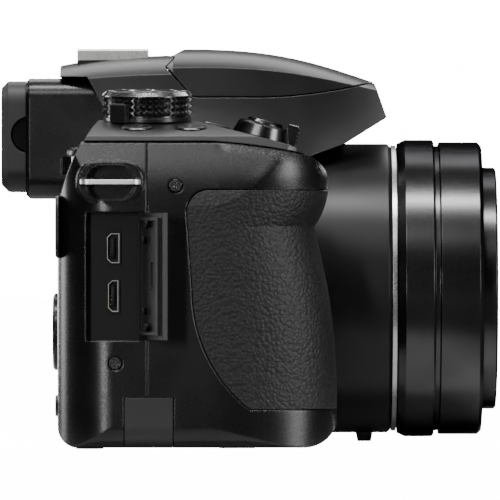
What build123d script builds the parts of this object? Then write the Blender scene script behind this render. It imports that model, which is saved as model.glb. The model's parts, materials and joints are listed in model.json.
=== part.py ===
"""Bridge camera with a fixed zoom lens, drawn in millimetres.

+Z is up, the lens looks along -Y, and the hand grip is on the -X side. The origin is the mouth of the
tripod socket, under the lens axis. The port door stands open, as the camera was seen.
"""

import math
import os

from build123d import *

# Body: outer planes and the covers' walls
grip_plane = -77.0
left_plane = 53.0
front_plane = -17.0
rear_plane = 30.8
seam_plane = 9.87
seam_height = 71.4
form_height = 80.0
wall = 2.0
running_gap = 0.05
parting_gap = 0.2
seam_gap = 0.1
overrun = 20.0
foot_radius = 5.0
grip_corner_radius = 13.0
left_corner_radius = 8.0
shoulder_height = 72.6
grip_shoulder_start = 56.0
grip_shoulder_tuck = 6.5
left_shoulder_tuck = 3.0
rear_slope_start = 55.5
rear_slope_run = 7.9
slope_bulge_share = 0.36
seam_dip_start = 4.0
seam_dip_radius = 150.0
seam_dip_span = 40.0

# Hand grip: how far its nose stands out of the front, level by level
grip_reach = 17.3
grip_root = 13.0
grip_inner = -38.5
grip_plan_shares = ((0.0, 0.0), (0.0, 0.59), (0.12, 1.18), (0.62, 1.31), (0.98, 0.86), (1.05, -0.32))
palm_levels = ((-4.0, 17.3), (12.0, 17.3), (26.0, 17.9), (38.0, 16.2), (48.0, 12.0), (58.0, 11.0))
finger_levels = ((48.0, 8.6), (54.0, 16.6), (62.0, 16.8), (71.0, 15.0), (84.0, 12.0))
nose_foot_radius = 8.0
nose_margin = 0.4
nose_top_height = 60.5
nose_top_front = -32.9
nose_top_back = (-25.4, 68.8)
nose_top_bulge = (-30.6, 65.6)
front_foot_radius = 3.0

# Rubber skin of the grip, as seen from the side
rubber_thickness = 1.0
rubber_top = 59.7
rubber_bottom = 9.0
rubber_rear = 0.6
rubber_corner = 5.2
rubber_slant_start = 36.6
rubber_foot = -14.0
rubber_lean = 1.3
rubber_bend = (-4.6, 20.5)

# Lens axis and fixed barrel
axis_height = 36.7
barrel_radius = 34.7
barrel_front = -47.8
barrel_rear = -13.0
barrel_wall = 1.5
barrel_edge = 0.9
barrel_fit = 0.2
barrel_foot_width = 9.0
barrel_foot_drop = 2.1
barrel_foot_length = 6.4
barrel_foot_taper = 1.6
barrel_foot_centre = -41.4
barrel_foot_top = 8.0
trim_ring_radius = 34.3
trim_ring_length = 1.1
tube_wall = 1.5
tube_clearance = 0.35
front_ring_rear = -49.2
front_ring_radius = 35.65
front_ring_edge = 0.9
band_front = -58.0
band_groove_width = 1.1
band_groove_depth = 0.9
second_band_radius = 35.1
second_band_front = -69.4
filter_ring_radius = 29.0
filter_ring_front = -72.9
filter_bore_radius = 27.2
filter_thread_length = 4.0
rear_tube_rear = -15.4
rear_tube_front = -48.6
front_tube_rear = -17.2
front_tube_front = filter_ring_front + filter_thread_length
lens_radius = 24.6
lens_edge = 2.2
lens_bulge = 3.3
name_ring_lean = 1.5
lens_front = -65.0
name_ring_radius = 27.6
lens_cell_bore = 15.0
lens_cell_rear = -40.0
lens_cell_length = 6.0
base_flange = 2.0
base_radius = 27.0
base_wall = 1.6
base_rear = 12.0
base_floor = 1.5
rear_lens_radius = 14.0
rear_lens_place = -2.0
sensor_width = 14.0
sensor_height = 12.0
sensor_thickness = 1.6

# Tripod socket
tripod_radius = 3.2
tripod_depth = 6.2
tripod_bush_radius = 5.6
tripod_bush_height = 7.2
tripod_flange_radius = 8.0
tripod_flange = 1.4

# Deck on the grip side
deck_crown = 76.5
deck_crown_place = -37.0
deck_crown_radius = 140.0
left_crown_place = 25.0
deck_slope = 15.0
deck_slope_start = 0.2
deck_edge_depth = 1.0
deck_inset = 0.5
deck_gap = 0.3
left_deck_drop = 2.2

# Hump over the lens: its crowned top and flanks are Bezier patches through control rows
hump_rear = 31.3
hump_front = -46.6
hump_foot = 64.0
hump_ridge_levels = ((34.0, 90.9), (17.0, 95.4), (0.0, 92.4), (-16.0, 98.0), (-32.0, 89.7), (-48.0, 84.7))
hump_crown_shares = ((-1.0, 1.0), (-0.5, -0.895), (0.0, 0.86), (0.5, -0.895), (1.0, 1.0))
hump_crown_width = 34.0
hump_crown_drop = 31.4
hump_flank_levels = (62.0, 73.0, 85.0, 98.0)
hump_flank_rows = (
    (36.0, (30.0, 20.0, 19.5, 18.5)), (14.0, (38.0, 20.5, 20.4, 20.5)), (-10.0, (40.0, 21.0, 20.2, 21.0)),
    (-34.0, (20.0, 21.0, 20.5, 20.5)), (-50.0, (13.0, 14.0, 13.6, 13.5)),
)
hump_step_drop = 1.4
hump_step = ((4.3, 64.0), (4.3, 92.4), (1.3, 94.2), (1.3, 99.0))
hump_nose_top = (-43.8, 85.6)
hump_nose_bottom = (-46.6, 77.6)
hump_under = (-36.0, 71.0)
hump_nose_radius = 9.0
hump_ridge_top = 99.0
hump_room_half = 17.5
hump_room_front = -15.5
hump_room_rear = 12.0
hump_room_top = 78.5
hump_back_foot = (20.0, 78.0)
hump_back_top = (24.8, 87.1)
saddle_gap = 0.3

# Flash head
flash_seam_height = 82.1
flash_seam_rise = 3.6
flash_seam_sag_share = 0.3
flash_seam_rear = -2.0
flash_seam_bend = (0.6, 82.9)
flash_seam_corner = (1.6, 84.2)
flash_seam_back = (6.2, 89.4)
flash_seam_flat = -18.0
flash_seam_front = -43.0
flash_gap = 0.3
flash_wall = 1.8
flash_axis = (4.3, 91.6)
flash_pin_radius = 0.5
flash_knuckle_radius = 1.0
flash_knuckle_half = 6.0
flash_outer_knuckle = 11.0
flash_lip_inner = 14.8
flash_lip_outer = 16.2
flash_lip_reach = 1.3
flash_lip_foot = 83.4
flash_lip_top = 88.8
flash_well_half = 14.0
flash_well_rear = -7.0
flash_well_front = -34.0
flash_well_floor = 77.4
flash_box_half = 12.6
flash_box_front = -32.6
flash_box_length = 8.0
flash_box_floor = 79.0
flash_window_top = 85.0
flash_window_thickness = 1.0
flash_tube_radius = 1.3

# Accessory shoe
shoe_front = 10.5
shoe_rear = 27.3
shoe_width = 21.4
shoe_slot = 18.7
shoe_mouth = 13.4
shoe_slot_height = 2.1
shoe_sheet = 0.6
shoe_top = 93.95
shoe_contact_radius = 1.1
shoe_contact_height = 0.25
shoe_seat = 89.9
shoe_contacts = ((0.0, 0.45), (3.2, 0.62), (-3.2, 0.62), (5.4, 0.36))

# Viewfinder
finder_half_width = 19.0
finder_top = 86.8
finder_bottom = 58.2
finder_rear = 39.4
finder_front = 12.6
finder_wall = 1.6
finder_corner = 5.0
finder_edge = 0.8
finder_axis = 73.0
finder_fit = 0.25
eyecup_rear = 45.3
eyecup_half_width = 18.0
eyecup_top = 86.2
eyecup_bottom = 59.8
eyecup_corner = 5.5
eyecup_edge = 1.6
eyecup_taper = 20.0
eyepiece_width = 22.0
eyepiece_height = 15.0
eyepiece_thickness = 3.0
eyepiece_corner = 4.0
finder_display_size = 13.0
finder_display_thickness = 2.0
diopter_radius = 4.1
diopter_width = 3.0
diopter_height = 73.3
diopter_place = 38.6
diopter_teeth = 24
diopter_tooth = 0.3
diopter_gap = 0.25
diopter_sink = 2.2

# Mode dial and power lever
dial_place = (-46.0, 10.1)
dial_radius = 10.7
dial_height = 6.0
dial_rows = 3
dial_studs = 44
dial_stud_height = 0.8
dial_foot_band = 0.4
dial_rim_band = 1.2
dial_rim_chamfer = 0.9
dial_dish_radius = 7.6
dial_dish_depth = 0.5
dial_stem_radius = 3.0
dial_stem_depth = 2.4
lever_radius = 10.3
lever_thickness = 0.9
lever_bore = 6.0
lever_tab_width = 4.3
lever_tab_height = 4.4
lever_tab_depth = 1.8
lever_tab_bridge = 1.6
lever_tab_bearing = 147.0
lever_tab_edge = 0.4
control_gap = 0.12

# Shutter button and zoom lever
shutter_place = (-58.0, -16.6)
shutter_radius = 4.3
shutter_rise = 4.2
shutter_dome = 0.7
shutter_stem = 1.6
shutter_skirt = 1.0
shutter_travel = 1.0
shutter_stem_depth = 3.4
zoom_ring_radius = 6.9
zoom_ring_top_radius = 6.0
zoom_ring_height = 3.3
zoom_ring_bore = 4.6
zoom_tab_width = 5.0
zoom_tab_height = 4.9
zoom_tab_depth = 2.6
zoom_ring_foot = 0.15
zoom_ring_edge = 0.5
zoom_tab_edge = 0.7
zoom_tab_ribs = 4
zoom_rib_size = 0.4

# Push buttons of the deck: place, cap radius
top_buttons = (
    ("drive_button", (-62.0, 12.4), 3.6),
    ("focus_button", (-62.0, -0.2), 3.6),
    ("movie_button", (-49.5, -6.2), 3.2),
)
button_rise = 0.55
button_seat_border = 1.6
button_seat_height = 2.0
button_clearance = 0.2
button_flange = 0.6
button_flange_height = 0.7
button_flange_gap = 0.05
button_edge = 0.35
button_depth = 3.2
rear_button_depth = 2.8

# Rear command dial
rear_dial_place = (-53.0, 21.5)
rear_dial_radius = 8.8
rear_dial_height = 4.2
rear_dial_level = 65.6
rear_dial_teeth = 40
rear_dial_tooth = 0.45
rear_dial_axle = 1.6
rear_dial_axle_length = 1.2
rear_boss_radius = 7.4
rear_boss_bottom = 61.0
rear_boss_top = 69.8
rear_boss_edge = 0.8

# Rear face controls
pad_place = (-50.5, 26.7)
pad_radius = 9.0
pad_bore = 4.3
pad_rise = 1.3
pad_depth = 1.2
pad_float = 0.45
pad_edge = 0.5
pad_button_drop = 0.3
pad_ring_radius = 10.4
pad_ring_rise = 0.8
pad_button_radius = 4.1
rear_stem = 1.6
rear_buttons = (
    ("playback_button", (-36.0, 55.0), 2.6),
    ("lock_button", (-47.0, 50.0), 2.8),
    ("quick_button", (-33.0, 41.5), 2.5),
    ("delete_button", (-36.5, 9.6), 2.6),
    ("display_button", (-62.5, 9.6), 2.6),
)
finder_button_place = (23.5, 63.0)
thumb_rest_low = (-72.0, 44.0)
thumb_rest_high = (-56.0, 58.5)
thumb_rest_thickness = 0.8
thumb_rest_corner = 4.0
thumb_rest_edge = 0.35
thumb_rest_sink = 0.4

# Monitor
monitor_left = 44.5
monitor_right = -25.5
monitor_bottom = 4.8
monitor_top = 54.6
monitor_corner = 2.5
monitor_glass = 0.9
monitor_recess = 0.3
monitor_frame = 2.2
monitor_panel_thickness = 2.8
monitor_panel_gap = 0.4

# Ports and their door, on the grip side
port_front = 10.4
port_rear = 23.9
port_bottom = 24.9
port_top = 54.6
port_depth = 4.6
port_panel_thickness = 1.2
port_panel_margin = 0.15
socket_place = 17.7
hdmi_height = 46.3
hdmi_length = 7.2
hdmi_width = 3.2
usb_height = 35.2
usb_length = 7.6
usb_width = 2.7
socket_depth = 6.0
socket_shell = 0.35
socket_bevel = 1.0
socket_tongue = 0.7
socket_proud = 0.25
door_thickness = 1.5
door_edge = 0.3
door_corner = 2.0
door_hinge_depth = 0.0
door_hinge_inset = 0.0
door_gap = 0.2
door_open_angle = 115.0
door_rib = 0.9
door_rib_inset = 1.3
door_rib_width = 0.7
door_slot_length = 6.4
door_slot_width = 1.4
nail_notch_length = 6.4
nail_notch_depth = 0.9

# Power supply flap at the grip side's foot
flap_front = 3.9
flap_rear = 15.0
flap_height = 11.7
flap_inward = 7.0

# Strap lugs and their recesses
lug_place = 18.3
lug_height = 61.6
lug_width = 14.2
lug_reach = 2.4
lug_bar = 2.0
lug_sheet = 1.1
lug_side_lean = 0.9
recess_width = 11.4
recess_height = 7.8
recess_depth = 4.2
recess_corner = 3.6
bezel_border = 2.2
bezel_rise = 0.6
bezel_edge = 0.5

# Case screws: place along Y and height, on the grip side
side_screws = ((3.2, 60.8), (17.2, 19.7))
screw_radius = 1.4
screw_ring = 0.3
screw_shank_radius = 0.95
screw_length = 3.4
screw_head = 1.2
screw_sink = 0.35
screw_cross = 0.45
screw_cross_share = 1.4
screw_cross_depth = 0.5

# Bottom: battery door, battery, card, feet
battery_door_outer = -71.0
battery_door_inner = -44.5
battery_door_front = -25.0
battery_door_rear = 3.0
battery_door_gap = 0.2
battery_door_plate = 1.9
latch_length = 9.0
latch_width = 3.6
latch_place = -66.5
latch_rise = 0.0
latch_travel = 1.5
latch_thickness = 1.1
latch_ridges = 3
latch_ridge = 0.4
battery_width = 13.5
battery_depth = 27.0
battery_corner = 1.5
battery_height = 46.0
battery_outer = -65.4
battery_front = -20.4
holder_wall = 1.2
holder_gap = 0.3
battery_floor = 2.6
card_thickness = 2.1
card_depth = 24.0
card_height = 32.0
card_notch = 4.0
foot_pad_radius = 3.2
foot_pad_drop = 0.4
foot_pad_sink = 0.6
foot_places = ((-64.0, 23.3), (45.0, 23.3), (45.0, -11.5), (-36.0, -11.5))

# Boards and small fittings
board_thickness = 1.6
board_front = 19.0
board_left = 46.0
board_right = -30.0
board_bottom = 4.0
board_top = 54.0
board_post_radius = 2.0
board_post_places = ((-27.6, 6.6), (-27.6, 51.4), (44.6, 6.6), (44.6, 51.4))
speaker_place = (39.5, 6.0)
speaker_hole_radius = 0.6
speaker_rings = ((1, 0.0), (6, 2.2))
lamp_radius = 2.6
lamp_place = (-40.5, 63.5)
lamp_length = 2.6
lamp_rise = 0.4
flash_switch_length = 8.0
flash_switch_width = 3.2
flash_switch_seat = (14.0, 82.0, 23.0)
flash_switch_lean = 14.0
flash_switch_travel = 1.2
flash_switch_thickness = 2.4
flash_switch_ribs = 5
flash_switch_rib = 0.5


def block(x0, x1, y0, y1, z0, z1):
    """A box from its two corners."""
    centre = ((x0 + x1) / 2, (y0 + y1) / 2, (z0 + z1) / 2)
    return Pos(*centre) * Box(abs(x1 - x0), abs(y1 - y0), abs(z1 - z0))


def along_x(points, x0, x1):
    """A prism along X with a (Y, Z) outline."""
    plane = Plane(origin=(x0, 0, 0), x_dir=(0, 1, 0), z_dir=(1, 0, 0))
    return extrude(plane * make_face(Polyline(*points, close=True)), x1 - x0)


def lens_disc(radius, y0, y1):
    """A cylinder on the lens axis from y0 to y1."""
    return Pos(0, (y0 + y1) / 2, axis_height) * Rot(90, 0, 0) * Cylinder(radius, abs(y1 - y0))


def lens_revolve(points):
    """A solid of revolution about the lens axis from (radius, Y) points."""
    face = make_face(Polyline(*[(radius, y) for radius, y in points], close=True))
    return Pos(0, 0, axis_height) * revolve(face, Axis.Y)


def rounded_plate(width, height, thickness, corner):
    """A flat plate with round corners, lying in XY, thickness upward."""
    return extrude(RectangleRounded(width, height, corner), thickness)


def facing_rear(x, z, y):
    """A place on the rear face whose own +Z points backward, to +Y."""
    return Plane(origin=(x, y, z), x_dir=(-1, 0, 0), z_dir=(0, 1, 0)).location


def facing_grip(y, z, x):
    """A place on the grip side whose own +Z points outward, to -X."""
    return Plane(origin=(x, y, z), x_dir=(0, -1, 0), z_dir=(-1, 0, 0)).location


def facing_left(y, z, x):
    """A place on the left side whose own +Z points outward, to +X."""
    return Plane(origin=(x, y, z), x_dir=(0, 1, 0), z_dir=(1, 0, 0)).location

# Forms shared by the covers


def base_block(inset):
    """The camera box beside and behind the grip, with a rounded lower front edge."""
    front, back = front_plane + inset, overrun * 4
    radius = front_foot_radius
    bend = radius * (1 - math.sqrt(0.5))
    plane = Plane(origin=(grip_inner - overrun / 4, 0, 0), x_dir=(0, 1, 0), z_dir=(1, 0, 0))
    outline = [
        Polyline((front, inset + radius), (front, form_height), (back, form_height), (back, -overrun)),
        Polyline((back, -overrun), (front + radius, -overrun), (front + radius, inset)),
        ThreePointArc((front + radius, inset), (front + bend, inset + bend), (front, inset + radius)),
    ]
    return extrude(plane * make_face(outline), left_plane - grip_inner + overrun)


def grip_patch(levels, inset):
    """A Bezier skin of the grip, extruded backward into a solid."""
    outer, inner = grip_plane + inset, grip_inner - inset
    root = front_plane + grip_root
    rows = []
    for width_share, depth_share in grip_plan_shares:
        x = outer + (inner - outer) * width_share
        row = [Vector(x, root - (grip_root + reach - inset) * depth_share, z) for z, reach in levels]
        rows.append(row)
    return extrude(Face.make_bezier_surface(rows), amount=overrun * 4, dir=(0, 1, 0))


def front_view(inset):
    """Outline seen from the front: rounded feet and sides that lean in at the top."""
    x0, x1 = grip_plane + inset, left_plane - inset
    low, high = inset, grip_shoulder_start
    radius = foot_radius - inset / 2
    bend = radius * (1 - math.sqrt(0.5))
    rise = form_height - high
    lean = rise / (shoulder_height - high)
    bulge = lean * slope_bulge_share
    middle = high + rise / 2
    top0, top1 = x0 + grip_shoulder_tuck * lean, x1 - left_shoulder_tuck * lean
    outline = [
        Line((x0 + radius, low), (x1 - radius, low)),
        ThreePointArc((x1 - radius, low), (x1 - bend, low + bend), (x1, low + radius)),
        Line((x1, low + radius), (x1, high)),
        ThreePointArc((x1, high), (x1 - left_shoulder_tuck * bulge, middle), (top1, form_height)),
        Line((top1, form_height), (top0, form_height)),
        ThreePointArc((top0, form_height), (x0 + grip_shoulder_tuck * bulge, middle), (x0, high)),
        Line((x0, high), (x0, low + radius)),
        ThreePointArc((x0, low + radius), (x0 + bend, low + bend), (x0 + radius, low)),
    ]
    plane = Plane(origin=(0, overrun * 4, 0), x_dir=(1, 0, 0), z_dir=(0, -1, 0))
    return extrude(plane * make_face(outline), overrun * 8)


def side_view(inset):
    """Outline seen from the side: the back leans forward, the grip's nose is rounded."""
    rear, low = rear_plane - inset, inset
    nose = front_plane - grip_reach - nose_margin + inset
    radius = foot_radius - inset / 2
    bend = radius * (1 - math.sqrt(0.5))
    toe = nose_foot_radius - inset / 2
    toe_bend = toe * (1 - math.sqrt(0.5))
    rise = form_height - rear_slope_start
    run = rear_slope_run * rise / (shoulder_height - rear_slope_start)
    top_front = (nose_top_front + inset, nose_top_height)
    top_back = (nose_top_back[0] + inset, nose_top_back[1])
    bulge = (nose_top_bulge[0] + inset, nose_top_bulge[1])
    outline = [
        Line((nose + toe, low), (rear - radius, low)),
        ThreePointArc((rear - radius, low), (rear - bend, low + bend), (rear, low + radius)),
        Line((rear, low + radius), (rear, rear_slope_start)),
        ThreePointArc(
            (rear, rear_slope_start),
            (rear - run * slope_bulge_share, rear_slope_start + rise / 2),
            (rear - run, form_height),
        ),
        Polyline((rear - run, form_height), (top_back[0], form_height), top_back),
        ThreePointArc(top_back, bulge, top_front),
        Polyline(top_front, (nose, top_front[1] - toe), (nose, low + toe)),
        ThreePointArc((nose, low + toe), (nose + toe_bend, low + toe_bend), (nose + toe, low)),
    ]
    plane = Plane(origin=(grip_plane - overrun, 0, 0), x_dir=(0, 1, 0), z_dir=(1, 0, 0))
    return extrude(plane * make_face(outline), left_plane - grip_plane + 2 * overrun)


def plan_view(inset):
    """Outline seen from above: round corners, clear of the grip's own side."""
    x0, x1 = grip_plane + inset, left_plane - inset
    rear, front = rear_plane - inset, front_plane + inset
    far = front_plane - grip_reach - overrun
    grip_radius, left_radius = grip_corner_radius - inset / 2, left_corner_radius - inset / 2
    bend, left_bend = (radius * (1 - math.sqrt(0.5)) for radius in (grip_radius, left_radius))
    outside = x0 - overrun / 4
    outline = [
        Polyline((outside, far), (grip_inner + overrun, far), (grip_inner + overrun, front)),
        Line((grip_inner + overrun, front), (x1 - left_radius, front)),
        ThreePointArc(
            (x1 - left_radius, front), (x1 - left_bend, front + left_bend), (x1, front + left_radius)
        ),
        Line((x1, front + left_radius), (x1, rear - left_radius)),
        ThreePointArc((x1, rear - left_radius), (x1 - left_bend, rear - left_bend), (x1 - left_radius, rear)),
        Line((x1 - left_radius, rear), (x0 + grip_radius, rear)),
        ThreePointArc((x0 + grip_radius, rear), (x0 + bend, rear - bend), (x0, rear - grip_radius)),
        Polyline((x0, rear - grip_radius), (outside, rear - grip_radius), (outside, far)),
    ]
    return extrude(Pos(0, 0, -overrun) * make_face(outline), form_height + 2 * overrun)


def body_form(inset):
    """Outside of the covers below the deck, drawn in by inset all round."""
    solid = base_block(inset) + grip_patch(palm_levels, inset) + grip_patch(finger_levels, inset)
    for view in (side_view, front_view, plan_view):
        solid = solid & view(inset)
    return solid


def above_seam(lift):
    """Everything above the joint between the top cover and the other two."""
    height, far, top = seam_height + lift, overrun * 4, seam_height + overrun * 4
    ends = []
    for share in (0.5, 1.0):
        turn = math.asin(seam_dip_span * share / seam_dip_radius)
        drop = seam_dip_radius * (1 - math.cos(turn))
        ends.append((seam_dip_start - seam_dip_span * share, height - drop))
    outline = [
        Line((far, height), (seam_dip_start, height)),
        ThreePointArc((seam_dip_start, height), *ends),
        Polyline(ends[1], (-far, ends[1][1]), (-far, top), (far, top), (far, height)),
    ]
    plane = Plane(origin=(-overrun * 6, 0, 0), x_dir=(0, 1, 0), z_dir=(1, 0, 0))
    return extrude(plane * make_face(outline), overrun * 12)


def deck_levels(x, y):
    """Heights of the level crown and of the plane that slopes down to the front."""
    fall = deck_crown_radius - math.sqrt(deck_crown_radius**2 - (x - deck_crown_place) ** 2)
    slope = math.tan(math.radians(deck_slope))
    return deck_crown - fall, deck_crown + (y - deck_slope_start) * slope


def on_deck(x, y, lift=0):
    """A place on the deck whose own +Z is square to its surface."""
    crown, front = deck_levels(x, y)
    if front < crown:
        x_dir, normal = (1, 0, 0), (0, -math.tan(math.radians(deck_slope)), 1)
    else:
        side = (x - deck_crown_place) / math.sqrt(deck_crown_radius**2 - (x - deck_crown_place) ** 2)
        x_dir, normal = (1, 0, -side), (side, 0, 1)
    place = Plane(origin=(x, y, min(crown, front)), x_dir=x_dir, z_dir=Vector(*normal).normalized())
    return place.location * Pos(0, 0, lift)


def under_deck(drop):
    """Everything below the crowned deck, the lower left shoulder and the slope in front of both."""
    solids = []
    for place, sink in ((deck_crown_place, 0), (left_crown_place, left_deck_drop)):
        drum = Rot(90, 0, 0) * Cylinder(deck_crown_radius, overrun * 10)
        solids.append(Pos(place, 0, deck_crown - deck_crown_radius - drop - sink) * drum)
    reach = overrun * 5
    fall = reach * math.tan(math.radians(deck_slope))
    high = deck_crown - drop
    front = along_x(
        (
            (deck_slope_start - reach, high - fall), (deck_slope_start + reach, high + fall),
            (deck_slope_start + reach, -overrun), (deck_slope_start - reach, -overrun),
        ),
        -overrun * 6, overrun * 6,
    )
    return (solids[0] + solids[1]) & front


def hump_under_top():
    """Everything below the hump's crowned top, a Bezier patch extruded down, lower behind the flash."""
    rows = []
    for width_share, drop_share in hump_crown_shares:
        x, drop = hump_crown_width * width_share, hump_crown_drop * drop_share
        rows.append([Vector(x, y, ridge - drop) for y, ridge in hump_ridge_levels])
    top = extrude(Face.make_bezier_surface(rows), amount=overrun * 2, dir=(0, 0, -1))
    far = -overrun * 4
    flash = along_x((*hump_step, (far, hump_step[-1][1]), (far, hump_foot)), -overrun * 3, overrun * 3)
    return top & (Pos(0, 0, -hump_step_drop) * top + (top & flash))


def hump_inside_flank(side):
    """Everything on the lens side of one flank, a Bezier patch extruded inward."""
    rows = []
    for y, halves in hump_flank_rows:
        rows.append([Vector(side * half, y, z) for z, half in zip(hump_flank_levels, halves)])
    return extrude(Face.make_bezier_surface(rows), amount=overrun * 4, dir=(-side, 0, 0))


def hump_side_view():
    """Outline of the hump from the side, under its top."""
    high = hump_ridge_levels[0][1] + overrun / 2
    return along_x(
        (
            (hump_back_foot[0], hump_foot), hump_back_foot, hump_back_top, (hump_rear, hump_back_top[1]),
            (hump_rear, high), (hump_nose_top[0], high), hump_nose_top, hump_nose_bottom,
            hump_under, (front_plane, hump_foot),
        ),
        -overrun * 3, overrun * 3,
    )


def hump_form():
    """The whole hump with the flash head in place."""
    solid = hump_under_top() & hump_inside_flank(1) & hump_inside_flank(-1)
    solid = solid & hump_side_view()
    half = hump_crown_width
    plan = Pos(0, (overrun * 2 + hump_front) / 2) * Rectangle(2 * half, overrun * 2 - hump_front)
    plan = fillet(plan.vertices().group_by(Axis.Y)[0], hump_nose_radius)
    return solid & extrude(plan, overrun * 6)


# Openings shared by a cover and the piece that fills it


def lug_places():
    """Where the two strap lugs sit, each facing outward."""
    return (
        facing_grip(lug_place, lug_height, grip_plane + lug_side_lean),
        facing_left(lug_place, lug_height, left_plane - lug_side_lean / 2),
    )


def lug_recess(place):
    """The strap recess cut into a side, at a place facing outward."""
    return place * Pos(0, 0, -recess_depth) * rounded_plate(
        recess_width, recess_height, recess_depth + overrun, recess_corner
    )


def lug_bezel(place):
    """The low rim round a strap recess, with the closed pocket behind it."""
    width, height = recess_width + 2 * bezel_border, recess_height + bezel_border
    depth = recess_depth + wall
    rim = rounded_plate(width, height, depth + bezel_rise, recess_corner + bezel_border / 2)
    rim = chamfer(rim.faces().sort_by(Axis.Z)[-1].edges(), bezel_edge)
    return place * Pos(0, 0, -depth) * rim


def lug_loop(place, grow):
    """One flat loop in its recess; grow widens it into the slit that it passes."""
    length = lug_reach + recess_depth + wall
    plate = Box(lug_width + grow, length + grow, lug_sheet + grow)
    plate = fillet(plate.edges().filter_by(Axis.Z), lug_bar)
    return place * Pos(0, 0, lug_reach - length / 2) * Rot(90, 0, 0) * plate


def port_opening():
    """The port recess seen from the side, right through the wall."""
    x1 = grip_plane + port_depth
    return block(grip_plane - overrun, x1, port_front, port_rear, port_bottom, port_top)


def nail_notch():
    """Finger-nail notch beside the free edge of the port door."""
    z = (port_bottom + port_top) / 2
    half = nail_notch_length / 2
    x1 = grip_plane + door_thickness
    return block(grip_plane - overrun, x1, port_rear, port_rear + nail_notch_depth, z - half, z + half)


def flap_space(margin):
    """The notch at the foot of the side that the power supply flap fills."""
    return block(
        grip_plane - overrun, grip_plane + flap_inward + margin,
        flap_front - margin, flap_rear + margin, -overrun, flap_height + margin,
    )


def battery_door_space(margin):
    """The opening in the floor that the battery door fills."""
    return block(
        battery_door_outer - margin, battery_door_inner + margin,
        battery_door_front - margin, battery_door_rear + margin, -overrun, wall + overrun / 2,
    )


def rubber_outline(margin):
    """Side view of the rubber skin, as a prism along X."""
    rear, top, bottom = rubber_rear + margin, rubber_top + margin, rubber_bottom - margin
    far = front_plane - grip_reach - overrun
    knee = (rear - rubber_lean, rubber_slant_start)
    middle = (rubber_bend[0] + margin, rubber_bend[1] - margin)
    outline = [
        Polyline((rubber_foot, bottom), (far, bottom), (far, top), (rear - rubber_corner, top)),
        RadiusArc((rear - rubber_corner, top), (rear, top - rubber_corner), rubber_corner),
        Line((rear, top - rubber_corner), knee),
        ThreePointArc(knee, middle, (rubber_foot, bottom)),
    ]
    plane = Plane(origin=(grip_plane - overrun, 0, 0), x_dir=(0, 1, 0), z_dir=(1, 0, 0))
    return extrude(plane * make_face(outline), grip_inner - grip_plane + overrun - wall)


def screw_places():
    """Heads of the visible case screws, each facing outward."""
    return [facing_grip(y, z, grip_plane + screw_sink) for y, z in side_screws]


def screw_space(place):
    """The round sink above one screw and the hole that its shank fills."""
    sink = Pos(0, 0, overrun / 2 - screw_head) * Cylinder(screw_radius + screw_ring, overrun)
    shank = Pos(0, 0, -screw_length / 2) * Cylinder(screw_shank_radius, screw_length)
    return place * (sink + shank)


def screw_post(place):
    """The boss inside a cover that takes one case screw."""
    length = screw_length + wall / 2
    return place * Pos(0, 0, -screw_sink - length / 2) * Cylinder(screw_radius * 2, length)


def foot_pad(place):
    """One rubber foot, let into the floor."""
    return Pos(*place, foot_pad_sink / 2 - foot_pad_drop / 2) * Cylinder(
        foot_pad_radius, foot_pad_sink + foot_pad_drop
    )


def finder_block(margin):
    """The viewfinder housing's outer form."""
    width, height = finder_half_width * 2, finder_top - finder_bottom
    plate = rounded_plate(
        width + 2 * margin, height + 2 * margin, finder_rear - finder_front + 2 * margin, finder_corner
    )
    middle = (finder_top + finder_bottom) / 2
    return facing_rear(0, middle, finder_front - margin) * plate


def monitor_space():
    """Stepped opening in the back for the monitor's glass and panel."""
    width, height = monitor_left - monitor_right, monitor_top - monitor_bottom
    centre_x, centre_z = (monitor_left + monitor_right) / 2, (monitor_top + monitor_bottom) / 2
    floor = rear_plane - monitor_recess - monitor_glass
    rebate = rounded_plate(width, height, overrun, monitor_corner)
    inner = rounded_plate(
        width - 2 * monitor_frame, height - 2 * monitor_frame, overrun, monitor_corner
    )
    return facing_rear(centre_x, centre_z, floor) * (rebate + Pos(0, 0, -overrun / 2) * inner)


# Buttons


def button_cap(radius, rise, below):
    """A push button, its skirt and flange reaching below the surface."""
    body = Pos(0, 0, (rise - below) / 2) * Cylinder(radius, rise + below)
    body = chamfer(body.edges().sort_by(Axis.Z)[-1], button_edge)
    flange = Pos(0, 0, -below + button_flange_height / 2)
    return body + flange * Cylinder(radius + button_flange, button_flange_height)


def button_hole(radius, below):
    """The hole through a cover for one button."""
    bore = Pos(0, 0, (overrun - below) / 2) * Cylinder(radius + button_clearance, overrun + below)
    top = button_flange_height + button_flange_gap - below
    pocket = Pos(0, 0, top - overrun / 8)
    room = Cylinder(radius + button_flange + button_clearance, overrun / 4)
    return bore + pocket * room


def deck_buttons():
    """Node name, place and radius of the deck's push buttons."""
    return [(name, on_deck(*place), radius) for name, place, radius in top_buttons]


def rear_button_places():
    """Node name, place and radius of the buttons on the back."""
    places = []
    for name, (x, z), radius in rear_buttons:
        places.append((name, facing_rear(x, z, rear_plane), radius))
    return places


def screw_cross_cut(radius):
    """A cross recess for a screw head."""
    arm = Box(radius * screw_cross_share, screw_cross, screw_cross_depth * 2)
    return arm + Rot(0, 0, 90) * arm


# Covers


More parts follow.
